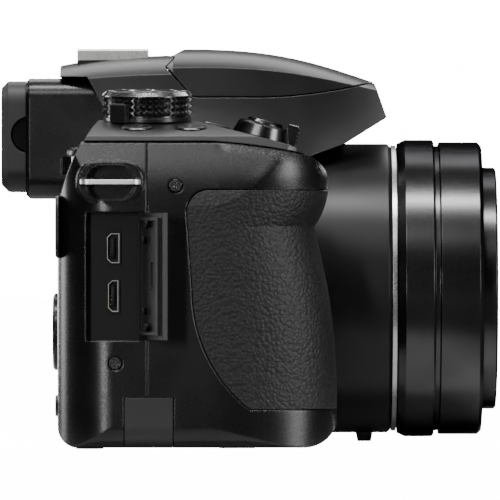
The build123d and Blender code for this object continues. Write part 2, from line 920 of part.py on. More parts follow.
def build_covers():
    """Front cover, rear cover, rubber skin and flap, all cut from one body form."""
    outer, inner, skin_floor = body_form(0), body_form(wall), body_form(rubber_thickness)
    shell = ((outer - inner) & under_deck(deck_edge_depth + deck_gap)) - above_seam(-deck_gap)
    for place in screw_places():
        shell = shell + (screw_post(place) & outer)
    for place in screw_places():
        shell = shell - screw_space(place)
    shell = shell - port_opening() - flap_space(parting_gap)
    for place in lug_places():
        shell = shell + (lug_bezel(place) - above_seam(-deck_gap)) - lug_recess(place)
        shell = shell - lug_loop(place, 2 * control_gap)
    for place in foot_places:
        shell = shell - foot_pad(place)

    far = overrun * 6
    front = shell & block(-far, far, -far, seam_plane - seam_gap / 2, -far, far)
    front = front - lens_disc(barrel_radius + barrel_fit, 0, front_plane - overrun)
    front = front - (rubber_outline(parting_gap) & (outer - skin_floor))
    front = front - battery_door_space(battery_door_gap) - tripod_bush_solid()
    front = front - lamp_solid(control_gap / 2)

    rear = shell & block(-far, far, seam_plane + seam_gap / 2, far, -far, far)
    rear = rear + rear_dial_boss() - rear_dial_space() - nail_notch() - monitor_space()
    for x, z in board_post_places:
        post_front, post_rear = board_front + board_thickness, rear_plane - wall / 2 - monitor_glass
        post = Cylinder(board_post_radius, post_rear - post_front)
        rear = rear + facing_rear(x, z, (post_front + post_rear) / 2) * post
    rear = rear - finder_block(finder_fit) + (thumb_rest_form(thumb_rest_sink) & outer)
    rear = rear - thumb_rest_form(0)
    for _, place, radius in rear_button_places():
        rear = rear - place * button_hole(radius, rear_button_depth)
    rear = rear - facing_rear(*pad_place, rear_plane) * pad_hole()

    rubber = rubber_outline(0) & (outer - skin_floor)
    flap = flap_space(0) & (outer - inner)
    return main_solid(front), main_solid(rear), main_solid(rubber), main_solid(flap)


def main_solid(shape):
    """The one large solid of a cut, without crumbs."""
    return shape.solids().sort_by(SortBy.VOLUME)[-1]


def build_top_cover():
    """Deck, left shoulder and hump as one cover, hollow from below."""
    outer, inner = body_form(0), body_form(wall)
    lower = (outer & under_deck(deck_edge_depth)) - above_seam(0)
    deck = (body_form(deck_inset) & under_deck(0)) - lower
    hollow = inner & under_deck(wall)
    hump = hump_form()
    cover = (deck - hollow) + (hump & above_seam(0))
    cover = cover - block(
        -hump_room_half, hump_room_half, hump_room_front, hump_room_rear, hump_foot, hump_room_top
    )
    cover = cover - lens_disc(barrel_radius + saddle_gap, overrun / 2, -overrun * 4)
    cover = cover - flash_seam_prism(0) + (cover_knuckles(0) & hump) - head_knuckle(flash_gap)
    cover = cover + flash_lips(0)
    cover = cover - flash_well() - flash_pin(0) - finder_block(finder_fit)
    cover = cover - shoe_pocket()
    for name, place, radius in deck_buttons():
        cover = cover + place * button_seat(radius) - place * button_hole(radius, button_depth)
    cover = cover - on_deck(*dial_place) * dial_hole()
    cover = cover - on_deck(*shutter_place) * shutter_hole()
    for place in speaker_holes():
        cover = cover - place
    cover = cover - flash_switch_slot()
    return main_solid(cover)


def button_seat(radius):
    """A boss under the deck round one button."""
    return Pos(0, 0, -wall - running_gap) * Cylinder(radius + button_seat_border, button_seat_height)


# Flash head and its hinge


def flash_seam_prism(lift):
    """Everything above the joint under the flash head, up to its hinge line."""
    flat, front, rear = flash_seam_flat, flash_seam_front, flash_seam_rear
    height, tip = flash_seam_height + lift, flash_seam_height + flash_seam_rise + lift
    middle = ((flat + front) / 2, height + flash_seam_rise * flash_seam_sag_share)
    axis_y, axis_z = flash_axis
    top = axis_z + overrun
    back = axis_y - lift
    relief = overrun if lift == 0 else 0
    start = (rear - lift, height)
    bend, corner, seam_back = (
        (y - lift, z + lift / 2) for y, z in (flash_seam_bend, flash_seam_corner, flash_seam_back)
    )
    outline = [
        ThreePointArc((flat, height), middle, (front, tip)),
        Polyline(
            (front, tip), (front - overrun, tip + flash_seam_rise), (front - overrun, top),
            (back + relief, top), (back, axis_z), seam_back, corner,
        ),
        ThreePointArc(corner, bend, start),
        Line(start, (flat, height)),
    ]
    plane = Plane(origin=(-overrun * 3, 0, 0), x_dir=(0, 1, 0), z_dir=(1, 0, 0))
    return extrude(plane * make_face(outline), overrun * 6)


def along_hinge(radius, x0, x1):
    """A cylinder on the flash hinge axis between two X positions."""
    place = Pos((x0 + x1) / 2, *flash_axis) * Rot(0, 90, 0)
    return place * Cylinder(radius, abs(x1 - x0))


def head_knuckle(margin):
    """The head's middle hinge knuckle."""
    half = flash_knuckle_half + margin
    return along_hinge(flash_knuckle_radius + margin, -half, half)


def cover_knuckles(margin):
    """The fixed cover's outer hinge knuckles."""
    inner, outer = flash_knuckle_half + flash_gap - margin, flash_outer_knuckle + margin
    radius = flash_knuckle_radius + margin
    return along_hinge(radius, inner, outer) + along_hinge(radius, -outer, -inner)


def flash_pin(margin):
    """The steel pin through all the knuckles."""
    half = flash_outer_knuckle - wall / 2
    return along_hinge(flash_pin_radius + margin, -half, half)


def flash_lips(margin):
    """Two lips on the cover that close the joint behind the head to light and dust."""
    (y0, z0), (y1, z1) = flash_seam_corner, flash_seam_back
    slope = (y1 - y0) / (z1 - z0)
    foot, top = flash_lip_foot - margin, flash_lip_top + margin
    low, high = y0 + (foot - z0) * slope, y0 + (top - z0) * slope
    reach = flash_lip_reach + margin
    outline = ((low + wall, foot), (low - reach, foot), (high - reach, top), (high + wall, top))
    inner, outer = flash_lip_inner - margin, flash_lip_outer + margin
    return along_x(outline, inner, outer) + along_x(outline, -outer, -inner)


def flash_well():
    """The pocket in the hump that the flash unit sinks into."""
    return block(
        -flash_well_half, flash_well_half, flash_well_front, flash_well_rear,
        flash_well_floor, flash_seam_height + overrun,
    )


def build_flash():
    """The pop-up head: its moulded cover, the window and the tube."""
    head = hump_form() & flash_seam_prism(flash_gap)
    roof_only = Pos(0, 0, -flash_wall) * head
    room = block(
        -flash_well_half, flash_well_half, flash_well_front, flash_well_rear,
        flash_seam_height - overrun, hump_ridge_top + overrun,
    )
    head = head - (roof_only & room)
    reach = flash_box_front + flash_box_length
    rim = block(
        -flash_box_half, flash_box_half, flash_box_front, reach, flash_box_floor, hump_ridge_top
    )
    box = rim - Pos(0, -flash_wall, 0) * block(
        -flash_box_half + flash_wall, flash_box_half - flash_wall, flash_box_front, reach,
        flash_box_floor + flash_wall, hump_ridge_top + overrun,
    )
    head = head + (box & (hump_form() - block(-flash_box_half, flash_box_half, 0, overrun, 0, overrun)))
    head = head + head_knuckle(0) - cover_knuckles(flash_gap) - flash_pin(running_gap)
    head = head - flash_lips(flash_gap)
    window = block(
        -flash_box_half + flash_wall, flash_box_half - flash_wall,
        flash_box_front, flash_box_front + flash_window_thickness,
        flash_box_floor + flash_wall, flash_window_top,
    )
    tube_z = (flash_box_floor + flash_wall + flash_window_top) / 2
    tube_y = flash_box_front + flash_box_length - flash_wall - flash_tube_radius
    length = 2 * (flash_box_half - flash_wall)
    tube = Pos(0, tube_y, tube_z) * Rot(0, 90, 0) * Cylinder(flash_tube_radius, length)
    return main_solid(head), window, tube


# Accessory shoe


def shoe_pocket():
    """Flat seat cut into the hump's roof for the shoe."""
    half = shoe_width / 2
    return block(-half, half, shoe_front, shoe_rear, shoe_seat, hump_ridge_top + overrun)


def build_shoe():
    """Moulded base and the bent steel rails, with their contacts."""
    half, slot, mouth = shoe_width / 2, shoe_slot / 2, shoe_mouth / 2
    length = shoe_rear - shoe_front
    under = shoe_top - shoe_sheet
    floor = under - shoe_slot_height
    base = block(-half, half, shoe_front, shoe_rear, shoe_seat, floor)
    sides = (half - slot)
    rail = block(-half, -slot, shoe_front, shoe_rear, floor, under)
    lip = block(-half, -mouth, shoe_front, shoe_rear, under, shoe_top)
    stop = block(-half, half, shoe_front, shoe_front + sides, floor, shoe_top)
    rails = rail + lip + mirror(rail + lip, Plane.YZ) + stop
    top_edges = rails.edges().filter_by(Axis.Y).group_by(Axis.Z)[-1].sort_by(Axis.X)
    rails = fillet([top_edges[0], top_edges[-1]], shoe_sheet)
    contacts = []
    for x, y in shoe_contacts:
        place = Pos(x, shoe_front + length * y, floor + shoe_contact_height / 2)
        contacts.append(place * Cylinder(shoe_contact_radius, shoe_contact_height))
    base = base + contacts
    return base, rails


# Viewfinder


def build_finder():
    """Housing, eyecup, eyepiece, inner display and the diopter dial."""
    housing = finder_block(0)
    housing = housing & lean_prism()
    top_and_sides = [edge for edge in housing.faces().sort_by(Axis.Y)[-1].edges()]
    housing = chamfer(top_and_sides, finder_edge)
    middle = (finder_top + finder_bottom) / 2
    room = rounded_plate(
        2 * (finder_half_width - finder_wall), finder_top - finder_bottom - 2 * finder_wall,
        finder_rear - finder_front - 2 * finder_wall, finder_corner - finder_wall,
    )
    housing = housing - facing_rear(0, middle, finder_front + finder_wall) * room
    view = rounded_plate(eyepiece_width, eyepiece_height, overrun / 2, eyepiece_corner)
    housing = housing - facing_rear(0, finder_axis, finder_rear - overrun / 4) * view
    dial_place = diopter_location()
    housing = housing - dial_place * Cylinder(diopter_radius + diopter_gap, diopter_width + 2 * diopter_gap)

    eyecup = rounded_plate(
        2 * eyecup_half_width, eyecup_top - eyecup_bottom, eyecup_rear - finder_rear, eyecup_corner
    )
    eyecup = chamfer(eyecup.faces().sort_by(Axis.Z)[-1].edges(), eyecup_edge)
    funnel = extrude(
        RectangleRounded(eyepiece_width, eyepiece_height, eyepiece_corner),
        eyecup_rear - finder_rear, taper=-eyecup_taper,
    )
    eyecup = facing_rear(0, (eyecup_top + eyecup_bottom) / 2, finder_rear) * (
        eyecup - Pos(0, finder_axis - (eyecup_top + eyecup_bottom) / 2, 0) * funnel
    )
    notch = Pos(0, 0, overrun / 4) * Cylinder(diopter_radius + diopter_gap, overrun / 2)
    well = Cylinder(diopter_radius + diopter_gap, diopter_width + 2 * diopter_gap)
    eyecup = eyecup - dial_place * (notch + well)

    lens = rounded_plate(eyepiece_width, eyepiece_height, eyepiece_thickness, eyepiece_corner)
    lens = facing_rear(0, finder_axis, finder_rear - finder_wall - eyepiece_thickness / 2) * lens
    half = finder_display_size / 2
    display_front = finder_front + finder_wall
    display = block(
        -half, half, display_front, display_front + finder_display_thickness,
        finder_axis - half, finder_axis + half,
    )
    dial = toothed_disc(diopter_radius, diopter_width, diopter_teeth, diopter_tooth)
    return housing, eyecup, lens, display, dial_place * dial


def diopter_location():
    """The diopter dial's centre, its axis along X, standing out of the housing's side."""
    x = -finder_half_width + diopter_width / 2 + diopter_sink
    return Plane(origin=(x, diopter_place, diopter_height), x_dir=(0, 1, 0), z_dir=(-1, 0, 0)).location


def lean_prism():
    """Keeps the housing's form below the hump's roof line."""
    return block(
        -finder_half_width * 2, finder_half_width * 2, finder_front, finder_rear, finder_bottom, finder_top
    )


def toothed_disc(radius, height, teeth, depth):
    """A disc with triangular teeth round its edge."""
    points = []
    for index in range(2 * teeth):
        angle = math.pi * index / teeth
        reach = radius - (depth if index % 2 else 0)
        points.append((reach * math.cos(angle), reach * math.sin(angle)))
    disc = extrude(make_face(Polyline(*points, close=True)), height)
    return Pos(0, 0, -height / 2) * disc


# Lens


def build_lens():
    """Fixed barrel, its base, both zoom tubes, the front ring and the glass."""
    inner = barrel_radius - barrel_wall
    barrel = lens_revolve((
        (base_radius - base_flange, barrel_rear), (barrel_radius, barrel_rear),
        (barrel_radius, barrel_front + barrel_edge), (barrel_radius - barrel_edge, barrel_front),
        (inner, barrel_front), (inner, barrel_rear - base_flange),
        (base_radius - base_flange, barrel_rear - base_flange),
    ))
    half = barrel_foot_width / 2
    foot_rear = barrel_foot_centre + barrel_foot_length / 2
    foot_front = barrel_foot_centre - barrel_foot_length / 2
    foot = along_x(
        (
            (foot_rear, barrel_foot_top), (foot_rear - barrel_foot_taper, 0),
            (foot_front + barrel_foot_taper, 0), (foot_front, barrel_foot_top),
        ),
        -half, half,
    )
    barrel = barrel + (foot - lens_disc(barrel_radius - barrel_wall / 2, 0, barrel_front - overrun))
    trim = lens_revolve((
        (inner, barrel_front), (trim_ring_radius, barrel_front),
        (trim_ring_radius, barrel_front - trim_ring_length), (inner, barrel_front - trim_ring_length),
    ))
    base_inner = base_radius - base_wall
    base = lens_revolve((
        (0, base_rear), (base_radius, base_rear), (base_radius, barrel_rear),
        (base_inner, barrel_rear), (base_inner, base_rear - base_floor), (0, base_rear - base_floor),
    ))
    gate = block(
        -sensor_width / 2, sensor_width / 2, base_rear - base_floor, base_rear,
        axis_height - sensor_height / 2, axis_height + sensor_height / 2,
    )
    base = base - gate
    rear_outer = inner - running_gap
    rear_inner = rear_outer - tube_wall
    rear_tube = lens_revolve((
        (rear_inner, rear_tube_rear), (rear_outer, rear_tube_rear),
        (rear_outer, rear_tube_front), (rear_inner, rear_tube_front),
    ))
    tube_outer = rear_inner - running_gap
    tube_inner = tube_outer - tube_wall
    front_tube = lens_revolve((
        (tube_inner, front_tube_rear), (tube_outer, front_tube_rear), (tube_outer, front_tube_front),
        (name_ring_radius, front_tube_front), (name_ring_radius, front_tube_front + tube_wall),
        (tube_inner, front_tube_front + tube_wall),
    ))
    bore = filter_bore_radius
    groove = second_band_radius - band_groove_depth
    groove_front = band_front - band_groove_width
    edge = front_ring_edge
    ring = lens_revolve((
        (tube_outer, front_ring_rear), (front_ring_radius - edge, front_ring_rear),
        (front_ring_radius, front_ring_rear - edge * 2), (front_ring_radius, band_front + edge / 2),
        (front_ring_radius - edge / 2, band_front), (groove, band_front), (groove, groove_front),
        (second_band_radius - edge / 3, groove_front), (second_band_radius, groove_front - edge / 3),
        (second_band_radius, second_band_front + edge), (second_band_radius - edge, second_band_front),
        (filter_ring_radius, second_band_front), (filter_ring_radius, filter_ring_front + edge / 2),
        (filter_ring_radius - edge / 2, filter_ring_front), (bore, filter_ring_front),
        (bore, front_tube_front), (tube_outer, front_tube_front),
    ))
    name_ring = lens_revolve((
        (lens_radius, lens_front + lens_edge), (lens_radius, lens_front),
        (name_ring_radius, lens_front - name_ring_lean), (name_ring_radius, lens_front + lens_edge),
    ))
    crown = lens_front - lens_bulge
    sphere = (lens_radius**2 + lens_bulge**2) / (2 * lens_bulge)
    half_angle = math.asin(lens_radius / sphere) / 2
    shoulder = (sphere * math.sin(half_angle), crown + sphere * (1 - math.cos(half_angle)))
    glass_face = make_face([
        Polyline((0, crown), (0, lens_front + lens_edge), (lens_radius, lens_front + lens_edge)),
        Line((lens_radius, lens_front + lens_edge), (lens_radius, lens_front)),
        ThreePointArc((lens_radius, lens_front), shoulder, (0, crown)),
    ])
    front_lens = Pos(0, 0, axis_height) * revolve(glass_face, Axis.Y)
    front_cell = lens_revolve((
        (lens_cell_bore, lens_cell_rear), (tube_inner, lens_cell_rear),
        (tube_inner, lens_cell_rear - lens_cell_length), (lens_cell_bore, lens_cell_rear - lens_cell_length),
    ))
    rear_lens = lens_disc(rear_lens_radius, rear_lens_place, rear_lens_place - lens_edge * 2)
    rear_cell = lens_revolve((
        (rear_lens_radius, rear_lens_place), (base_inner, rear_lens_place),
        (base_inner, rear_lens_place - lens_edge), (rear_lens_radius, rear_lens_place - lens_edge),
    ))
    return {
        "lens_barrel": barrel, "barrel_trim_ring": trim, "lens_base": base + rear_cell,
        "zoom_tube_rear": rear_tube, "zoom_tube_front": front_tube + front_cell, "front_ring": ring,
        "name_ring": name_ring, "front_lens": front_lens, "rear_lens": rear_lens,
    }


# Dials and levers of the deck


def studded_drum(radius, height, rows, count, rise):
    """A drum whose side is rows of four-sided studs, as flat triangles; its foot is at height 0."""
    pitch = height / rows
    turns = [2 * math.pi * index / count for index in range(count)]
    rings = []
    for level in range(rows + 1):
        rings.append([Vector(*polar(radius - rise, turn), level * pitch) for turn in turns])
    faces = [Face(Wire.make_polygon(ring)) for ring in (rings[0], rings[-1])]
    half_turn = math.pi / count
    for row in range(rows):
        for index, turn in enumerate(turns):
            after = (index + 1) % count
            peak = Vector(*polar(radius, turn + half_turn), (row + 1 / 2) * pitch)
            corners = (rings[row][index], rings[row][after], rings[row + 1][after], rings[row + 1][index])
            for first, second in zip(corners, corners[1:] + corners[:1]):
                faces.append(Face(Wire.make_polygon((first, second, peak))))
    return Solid(Shell(faces))


def polar(radius, turn):
    """X and Y of a point at a radius and an angle in radians."""
    return radius * math.cos(turn), radius * math.sin(turn)


def knurled_dial():
    """The mode dial: rows of studs between a foot band and a bevelled rim, with a dished top."""
    foot = Pos(0, 0, dial_foot_band / 2) * Cylinder(dial_radius - dial_stud_height, dial_foot_band)
    rim = Pos(0, 0, dial_height - dial_rim_band / 2) * Cylinder(dial_radius, dial_rim_band)
    rim = chamfer(rim.edges().sort_by(Axis.Z)[-1], dial_rim_chamfer)
    studs = studded_drum(
        dial_radius, dial_height - dial_foot_band - dial_rim_band, dial_rows, dial_studs, dial_stud_height
    )
    dial = foot + Pos(0, 0, dial_foot_band) * studs + rim
    dial = dial - Pos(0, 0, dial_height) * Cylinder(dial_dish_radius, dial_dish_depth * 2)
    return dial + Pos(0, 0, -dial_stem_depth / 2) * Cylinder(dial_stem_radius, dial_stem_depth)


def dial_hole():
    """The stem hole under the mode dial."""
    return Cylinder(dial_stem_radius + running_gap, 4 * dial_stem_depth)


def build_power_lever():
    """The switch ring round the mode dial's foot, with its upright tab."""
    ring = Pos(0, 0, lever_thickness / 2) * (
        Cylinder(lever_radius, lever_thickness) - Cylinder(lever_bore, lever_thickness)
    )
    tab_start = dial_radius + control_gap
    tab = Pos(tab_start + lever_tab_depth / 2, 0, lever_tab_height / 2) * Box(
        lever_tab_depth, lever_tab_width, lever_tab_height
    )
    tab = chamfer(tab.edges().group_by(Axis.Z)[-1], lever_tab_edge)
    bridge = Pos(tab_start, 0, lever_thickness / 2) * Box(
        lever_tab_bridge, lever_tab_width, lever_thickness
    )
    lever = ring + Rot(0, 0, lever_tab_bearing) * (tab + bridge)
    clear = Cylinder(dial_radius + control_gap, overrun)
    return lever - Pos(0, 0, overrun / 2 + lever_thickness) * clear


def shutter_hole():
    """The stem hole under the shutter button."""
    return Cylinder(shutter_stem + running_gap, 4 * wall)


def build_shutter():
    """Domed shutter button with its stem through the deck."""
    cap_low = zoom_ring_height - shutter_skirt
    cap = Pos(0, 0, (shutter_rise + cap_low) / 2) * Cylinder(shutter_radius, shutter_rise - cap_low)
    cap = chamfer(cap.edges().sort_by(Axis.Z)[-1], shutter_dome, shutter_dome / 2)
    stem = Pos(0, 0, (cap_low - shutter_stem_depth) / 2) * Cylinder(
        shutter_stem, cap_low + shutter_stem_depth
    )
    return cap + stem


def build_zoom_lever():
    """The ring round the shutter button, with a ridged finger tab at its front."""
    ring = Pos(0, 0, zoom_ring_foot + (zoom_ring_height - zoom_ring_foot) / 2) * Cone(
        zoom_ring_radius, zoom_ring_top_radius, zoom_ring_height - zoom_ring_foot
    )
    ring = chamfer(ring.edges().sort_by(Axis.Z)[-1], zoom_ring_edge)
    tab_back = zoom_ring_top_radius - zoom_tab_depth / 4
    tab = Pos(0, -tab_back - zoom_tab_depth / 2, zoom_ring_foot + zoom_tab_height / 2) * Box(
        zoom_tab_width, zoom_tab_depth, zoom_tab_height
    )
    tab = fillet(tab.edges().group_by(Axis.Z)[-1], zoom_tab_edge)
    ribs = []
    for index in range(zoom_tab_ribs):
        z = zoom_ring_foot + zoom_tab_height * (index + 1) / (zoom_tab_ribs + 1)
        rib = Box(zoom_tab_width - 2 * zoom_tab_edge, zoom_rib_size * 2, zoom_rib_size)
        ribs.append(Pos(0, -tab_back - zoom_tab_depth, z) * rib)
    lever = ring + tab + ribs
    lever = lever - Cylinder(zoom_ring_bore, overrun)
    web_height = zoom_ring_height - shutter_skirt - shutter_travel - zoom_ring_foot - control_gap
    web = Cylinder(zoom_ring_bore, web_height) - Cylinder(shutter_stem + control_gap, web_height)
    return lever + Pos(0, 0, zoom_ring_foot + web_height / 2) * web


# Back of the camera


def rear_dial_boss():
    """The rounded housing of the rear dial, flush with the cover."""
    x, y = rear_dial_place
    height = rear_boss_top - rear_boss_bottom
    boss = Pos(x, y, rear_boss_bottom + height / 2) * Cylinder(rear_boss_radius, height)
    return chamfer(boss.edges().filter_by(GeomType.CIRCLE), rear_boss_edge)


def rear_dial_space():
    """The slot that the rear dial turns in, with its axle holes."""
    x, y = rear_dial_place
    slot = Cylinder(rear_dial_radius + control_gap * 2, rear_dial_height + 2 * control_gap)
    axle = Cylinder(rear_dial_axle + running_gap, rear_dial_height + 2 * rear_dial_axle_length)
    return Pos(x, y, rear_dial_level) * (slot + axle)


def build_rear_dial():
    """Fine-toothed dial on a vertical axle."""
    disc = toothed_disc(rear_dial_radius, rear_dial_height, rear_dial_teeth, rear_dial_tooth)
    length = rear_dial_height + 2 * rear_dial_axle_length - 2 * running_gap
    return Pos(*rear_dial_place, rear_dial_level) * (disc + Cylinder(rear_dial_axle, length))


def pad_hole():
    """The well of the direction pad and the guide of its centre button."""
    well = Pos(0, 0, overrun / 2 - pad_depth) * Cylinder(pad_radius + control_gap, overrun)
    return well + Cylinder(rear_stem + control_gap, overrun)


def build_pad():
    """The direction pad's ring and its centre button."""
    height = pad_rise + pad_depth - pad_float
    ring = Pos(0, 0, height / 2 - pad_depth + pad_float) * (
        Cylinder(pad_radius, height) - Cylinder(pad_bore + control_gap, height)
    )
    top = ring.faces().sort_by(Axis.Z)[-1].edges().sort_by(SortBy.LENGTH)
    ring = chamfer(top[-1], pad_edge)
    cap_height = height - pad_button_drop
    cap = Pos(0, 0, cap_height / 2 - pad_depth + pad_float) * Cylinder(pad_button_radius, cap_height)
    cap = chamfer(cap.edges().sort_by(Axis.Z)[-1], button_edge)
    stem = Pos(0, 0, -pad_depth - wall / 2) * Cylinder(rear_stem, wall + 2 * pad_float)
    place = facing_rear(*pad_place, rear_plane)
    return place * ring, place * (cap + stem)


def thumb_rest_form(grow):
    """The soft thumb rest beside the rear dial, as a plate let into the back."""
    (x0, z0), (x1, z1) = thumb_rest_low, thumb_rest_high
    plate = rounded_plate(
        x1 - x0 + 2 * grow, z1 - z0 + 2 * grow, thumb_rest_thickness + grow * 2, thumb_rest_corner
    )
    plate = chamfer(plate.faces().sort_by(Axis.Z)[-1].edges(), thumb_rest_edge)
    return facing_rear((x0 + x1) / 2, (z0 + z1) / 2, rear_plane - thumb_rest_sink - grow) * plate


def build_monitor():
    """Glass window and the display panel behind it."""
    width, height = monitor_left - monitor_right, monitor_top - monitor_bottom
    centre = (monitor_left + monitor_right) / 2, (monitor_top + monitor_bottom) / 2
    floor = rear_plane - monitor_recess - monitor_glass
    glass = rounded_plate(
        width - 2 * parting_gap, height - 2 * parting_gap, monitor_glass, monitor_corner - parting_gap
    )
    panel = Box(
        width - 2 * monitor_frame - monitor_panel_gap, height - 2 * monitor_frame - monitor_panel_gap,
        monitor_panel_thickness,
    )
    place = facing_rear(*centre, floor)
    return place * glass, place * Pos(0, 0, -monitor_panel_thickness / 2) * panel


# Ports and doors


def socket_place_at(height):
    """A socket's centre on the port panel, facing outward."""
    return facing_grip(socket_place, height, grip_plane + port_depth)


def socket_profile(length, width, bevel):
    """Mouth of a small plug socket, upright, with two bevelled corners."""
    shape = Rectangle(width, length)
    corners = shape.vertices().group_by(Axis.X)[0]
    return chamfer(corners, bevel)


def build_socket(height, length, width):
    """A steel socket shell with its tongue."""
    outside = extrude(socket_profile(length, width, socket_bevel), socket_depth + socket_proud)
    inside_profile = socket_profile(
        length - 2 * socket_shell, width - 2 * socket_shell, socket_bevel - socket_shell / 2
    )
    inside = Pos(0, 0, socket_shell) * extrude(inside_profile, socket_depth + socket_proud)
    tongue = Pos(0, 0, socket_depth / 2) * Box(
        socket_tongue, length - 4 * socket_bevel, socket_depth - socket_bevel / 2
    )
    return socket_place_at(height) * Pos(0, 0, -socket_depth) * (outside - inside + tongue)


def build_port_panel():
    """The panel at the bottom of the port recess, with both socket mouths."""
    panel = block(
        grip_plane + port_depth, grip_plane + port_depth + port_panel_thickness,
        port_front - port_panel_margin, port_rear + port_panel_margin,
        port_bottom - port_panel_margin, port_top + port_panel_margin,
    )
    for height, length, width in ((hdmi_height, hdmi_length, hdmi_width), (usb_height, usb_length, usb_width)):
        mouth = Pos(0, 0, -overrun / 2) * extrude(socket_profile(length, width, socket_bevel), overrun)
        panel = panel - socket_place_at(height) * mouth
    return panel


def build_port_door():
    """The port door with its sealing rib and latch slot, swung open on its front edge."""
    x0 = grip_plane
    door = block(
        x0, x0 + door_thickness, port_front + door_gap, port_rear - door_gap,
        port_bottom + door_gap, port_top - door_gap,
    )
    outer_edges = door.faces().sort_by(Axis.X)[0].edges()
    door = fillet(outer_edges, door_edge)
    frame_outer = block(
        x0 + door_thickness, x0 + door_thickness + door_rib,
        port_front + door_rib_inset, port_rear - door_rib_inset,
        port_bottom + door_rib_inset, port_top - door_rib_inset,
    )
    inset = door_rib_inset + door_rib_width
    frame_inner = block(
        x0 + door_thickness, x0 + door_thickness + door_rib,
        port_front + inset, port_rear - inset, port_bottom + inset, port_top - inset,
    )
    door = door + (frame_outer - frame_inner)
    middle_y, middle_z = (port_front + port_rear) / 2, (port_bottom + port_top) / 2
    slot = Pos(x0 + door_thickness, middle_y, middle_z) * Box(
        door_thickness, door_slot_width, door_slot_length
    )
    door = door - slot
    hinge = Pos(x0 + door_hinge_depth, port_front + door_hinge_inset, 0)
    return hinge * Rot(0, 0, door_open_angle) * hinge.inverse() * door


def build_battery_door():
    """The bottom door and the latch that slides in it."""
    door = block(
        battery_door_outer, battery_door_inner, battery_door_front, battery_door_rear, 0, battery_door_plate
    )
    door = fillet(door.edges().filter_by(Axis.Z), door_corner)
    middle = (battery_door_front + battery_door_rear) / 2
    pocket = Pos(latch_place, middle, 0) * Box(
        latch_width + latch_travel + 2 * control_gap, latch_length + 2 * control_gap, 2 * latch_thickness
    )
    door = door - Pos(-latch_travel / 2, 0, 0) * pocket
    latch = Pos(latch_place, middle, latch_thickness / 2 - latch_rise / 2) * Box(
        latch_width, latch_length, latch_thickness + latch_rise - 2 * control_gap
    )
    ridges = []
    for index in range(latch_ridges):
        x = latch_place + latch_width * (index - (latch_ridges - 1) / 2) / (latch_ridges + 1)
        ridges.append(Pos(x, middle, -latch_rise) * Box(latch_ridge, latch_length - 2 * latch_ridge, latch_ridge))
    return door, latch + ridges


def build_battery():
    """Battery block, its open-ended holder and the memory card beside it."""
    x0, y0 = battery_outer, battery_front
    battery = block(x0, x0 + battery_width, y0, y0 + battery_depth, battery_floor, battery_floor + battery_height)
    battery = fillet(battery.edges().filter_by(Axis.Z), battery_corner)
    gap, side = holder_gap, holder_wall
    card_x0 = x0 + battery_width + gap + side + gap
    x1 = card_x0 + card_thickness + gap + side
    top = battery_floor + battery_height + gap + side
    holder = block(x0 - gap - side, x1, y0 - gap - side, y0 + battery_depth + gap + side, battery_floor, top)
    bay = block(
        x0 - gap, x0 + battery_width + gap, y0 - gap, y0 + battery_depth + gap, 0, top - side
    )
    card_top = battery_floor + card_height
    slot = block(
        card_x0 - gap, card_x0 + card_thickness + gap, y0, y0 + card_depth + 2 * gap, 0, card_top + gap
    )
    card = block(card_x0, card_x0 + card_thickness, y0 + gap, y0 + gap + card_depth, battery_floor, card_top)
    card = chamfer(card.edges().filter_by(Axis.X).sort_by(Axis.Z)[-1], card_notch)
    return battery, holder - bay - slot, card


# Fittings


def tripod_bush_solid():
    """Outer form of the threaded bush, with its flange inside the floor."""
    bush = Pos(0, 0, tripod_bush_height / 2) * Cylinder(tripod_bush_radius, tripod_bush_height)
    flange = Pos(0, 0, wall + tripod_flange / 2) * Cylinder(tripod_flange_radius, tripod_flange)
    return bush + flange


def build_tripod_bush():
    """The bush with its blind hole, open at the base."""
    return tripod_bush_solid() - Pos(0, 0, tripod_depth / 2) * Cylinder(tripod_radius, tripod_depth)


def build_screws():
    """The visible case screws with cross recesses."""
    screws = []
    for place in screw_places():
        head = Pos(0, 0, -screw_head / 2) * Cylinder(screw_radius, screw_head)
        shank = Pos(0, 0, -screw_length / 2) * Cylinder(screw_shank_radius, screw_length)
        screws.append(place * (head + shank - screw_cross_cut(screw_radius)))
    return screws


def build_strap_lugs():
    """Two flat steel loops that stand out of their recesses."""
    loops = []
    for place in lug_places():
        length = lug_reach + recess_depth + wall
        slot = Box(lug_width - 2 * lug_bar, length - 2 * lug_bar, lug_sheet * 2)
        slot = fillet(slot.edges().filter_by(Axis.Z), lug_bar / 2)
        cut = place * Pos(0, 0, lug_reach - length / 2) * Rot(90, 0, 0) * slot
        loops.append(lug_loop(place, 0) - cut)
    return loops


def lamp_solid(grow):
    """The focus lamp's window in the front cover."""
    x, z = lamp_place
    place = Pos(x, front_plane + lamp_length / 2 - lamp_rise, z) * Rot(90, 0, 0)
    return place * Cylinder(lamp_radius + grow, lamp_length)


def speaker_holes():
    """Small holes through the left shoulder above the speaker."""
    x, y = speaker_place
    holes = []
    for count, ring in speaker_rings:
        for index in range(count):
            angle = 2 * math.pi * index / count
            place = Pos(x + ring * math.cos(angle), y + ring * math.sin(angle), seam_height)
            holes.append(place * Cylinder(speaker_hole_radius, overrun))
    return holes


def flash_switch_place():
    """The flash release slider on the hump's left flank."""
    y, z, x = flash_switch_seat
    return facing_left(y, z, x) * Rot(0, -flash_switch_lean, 0)


def flash_switch_slot():
    """The slot that the flash release slides in."""
    return flash_switch_place() * Box(
        flash_switch_length + flash_switch_travel * 2, flash_switch_width + 2 * control_gap, overrun / 4
    )


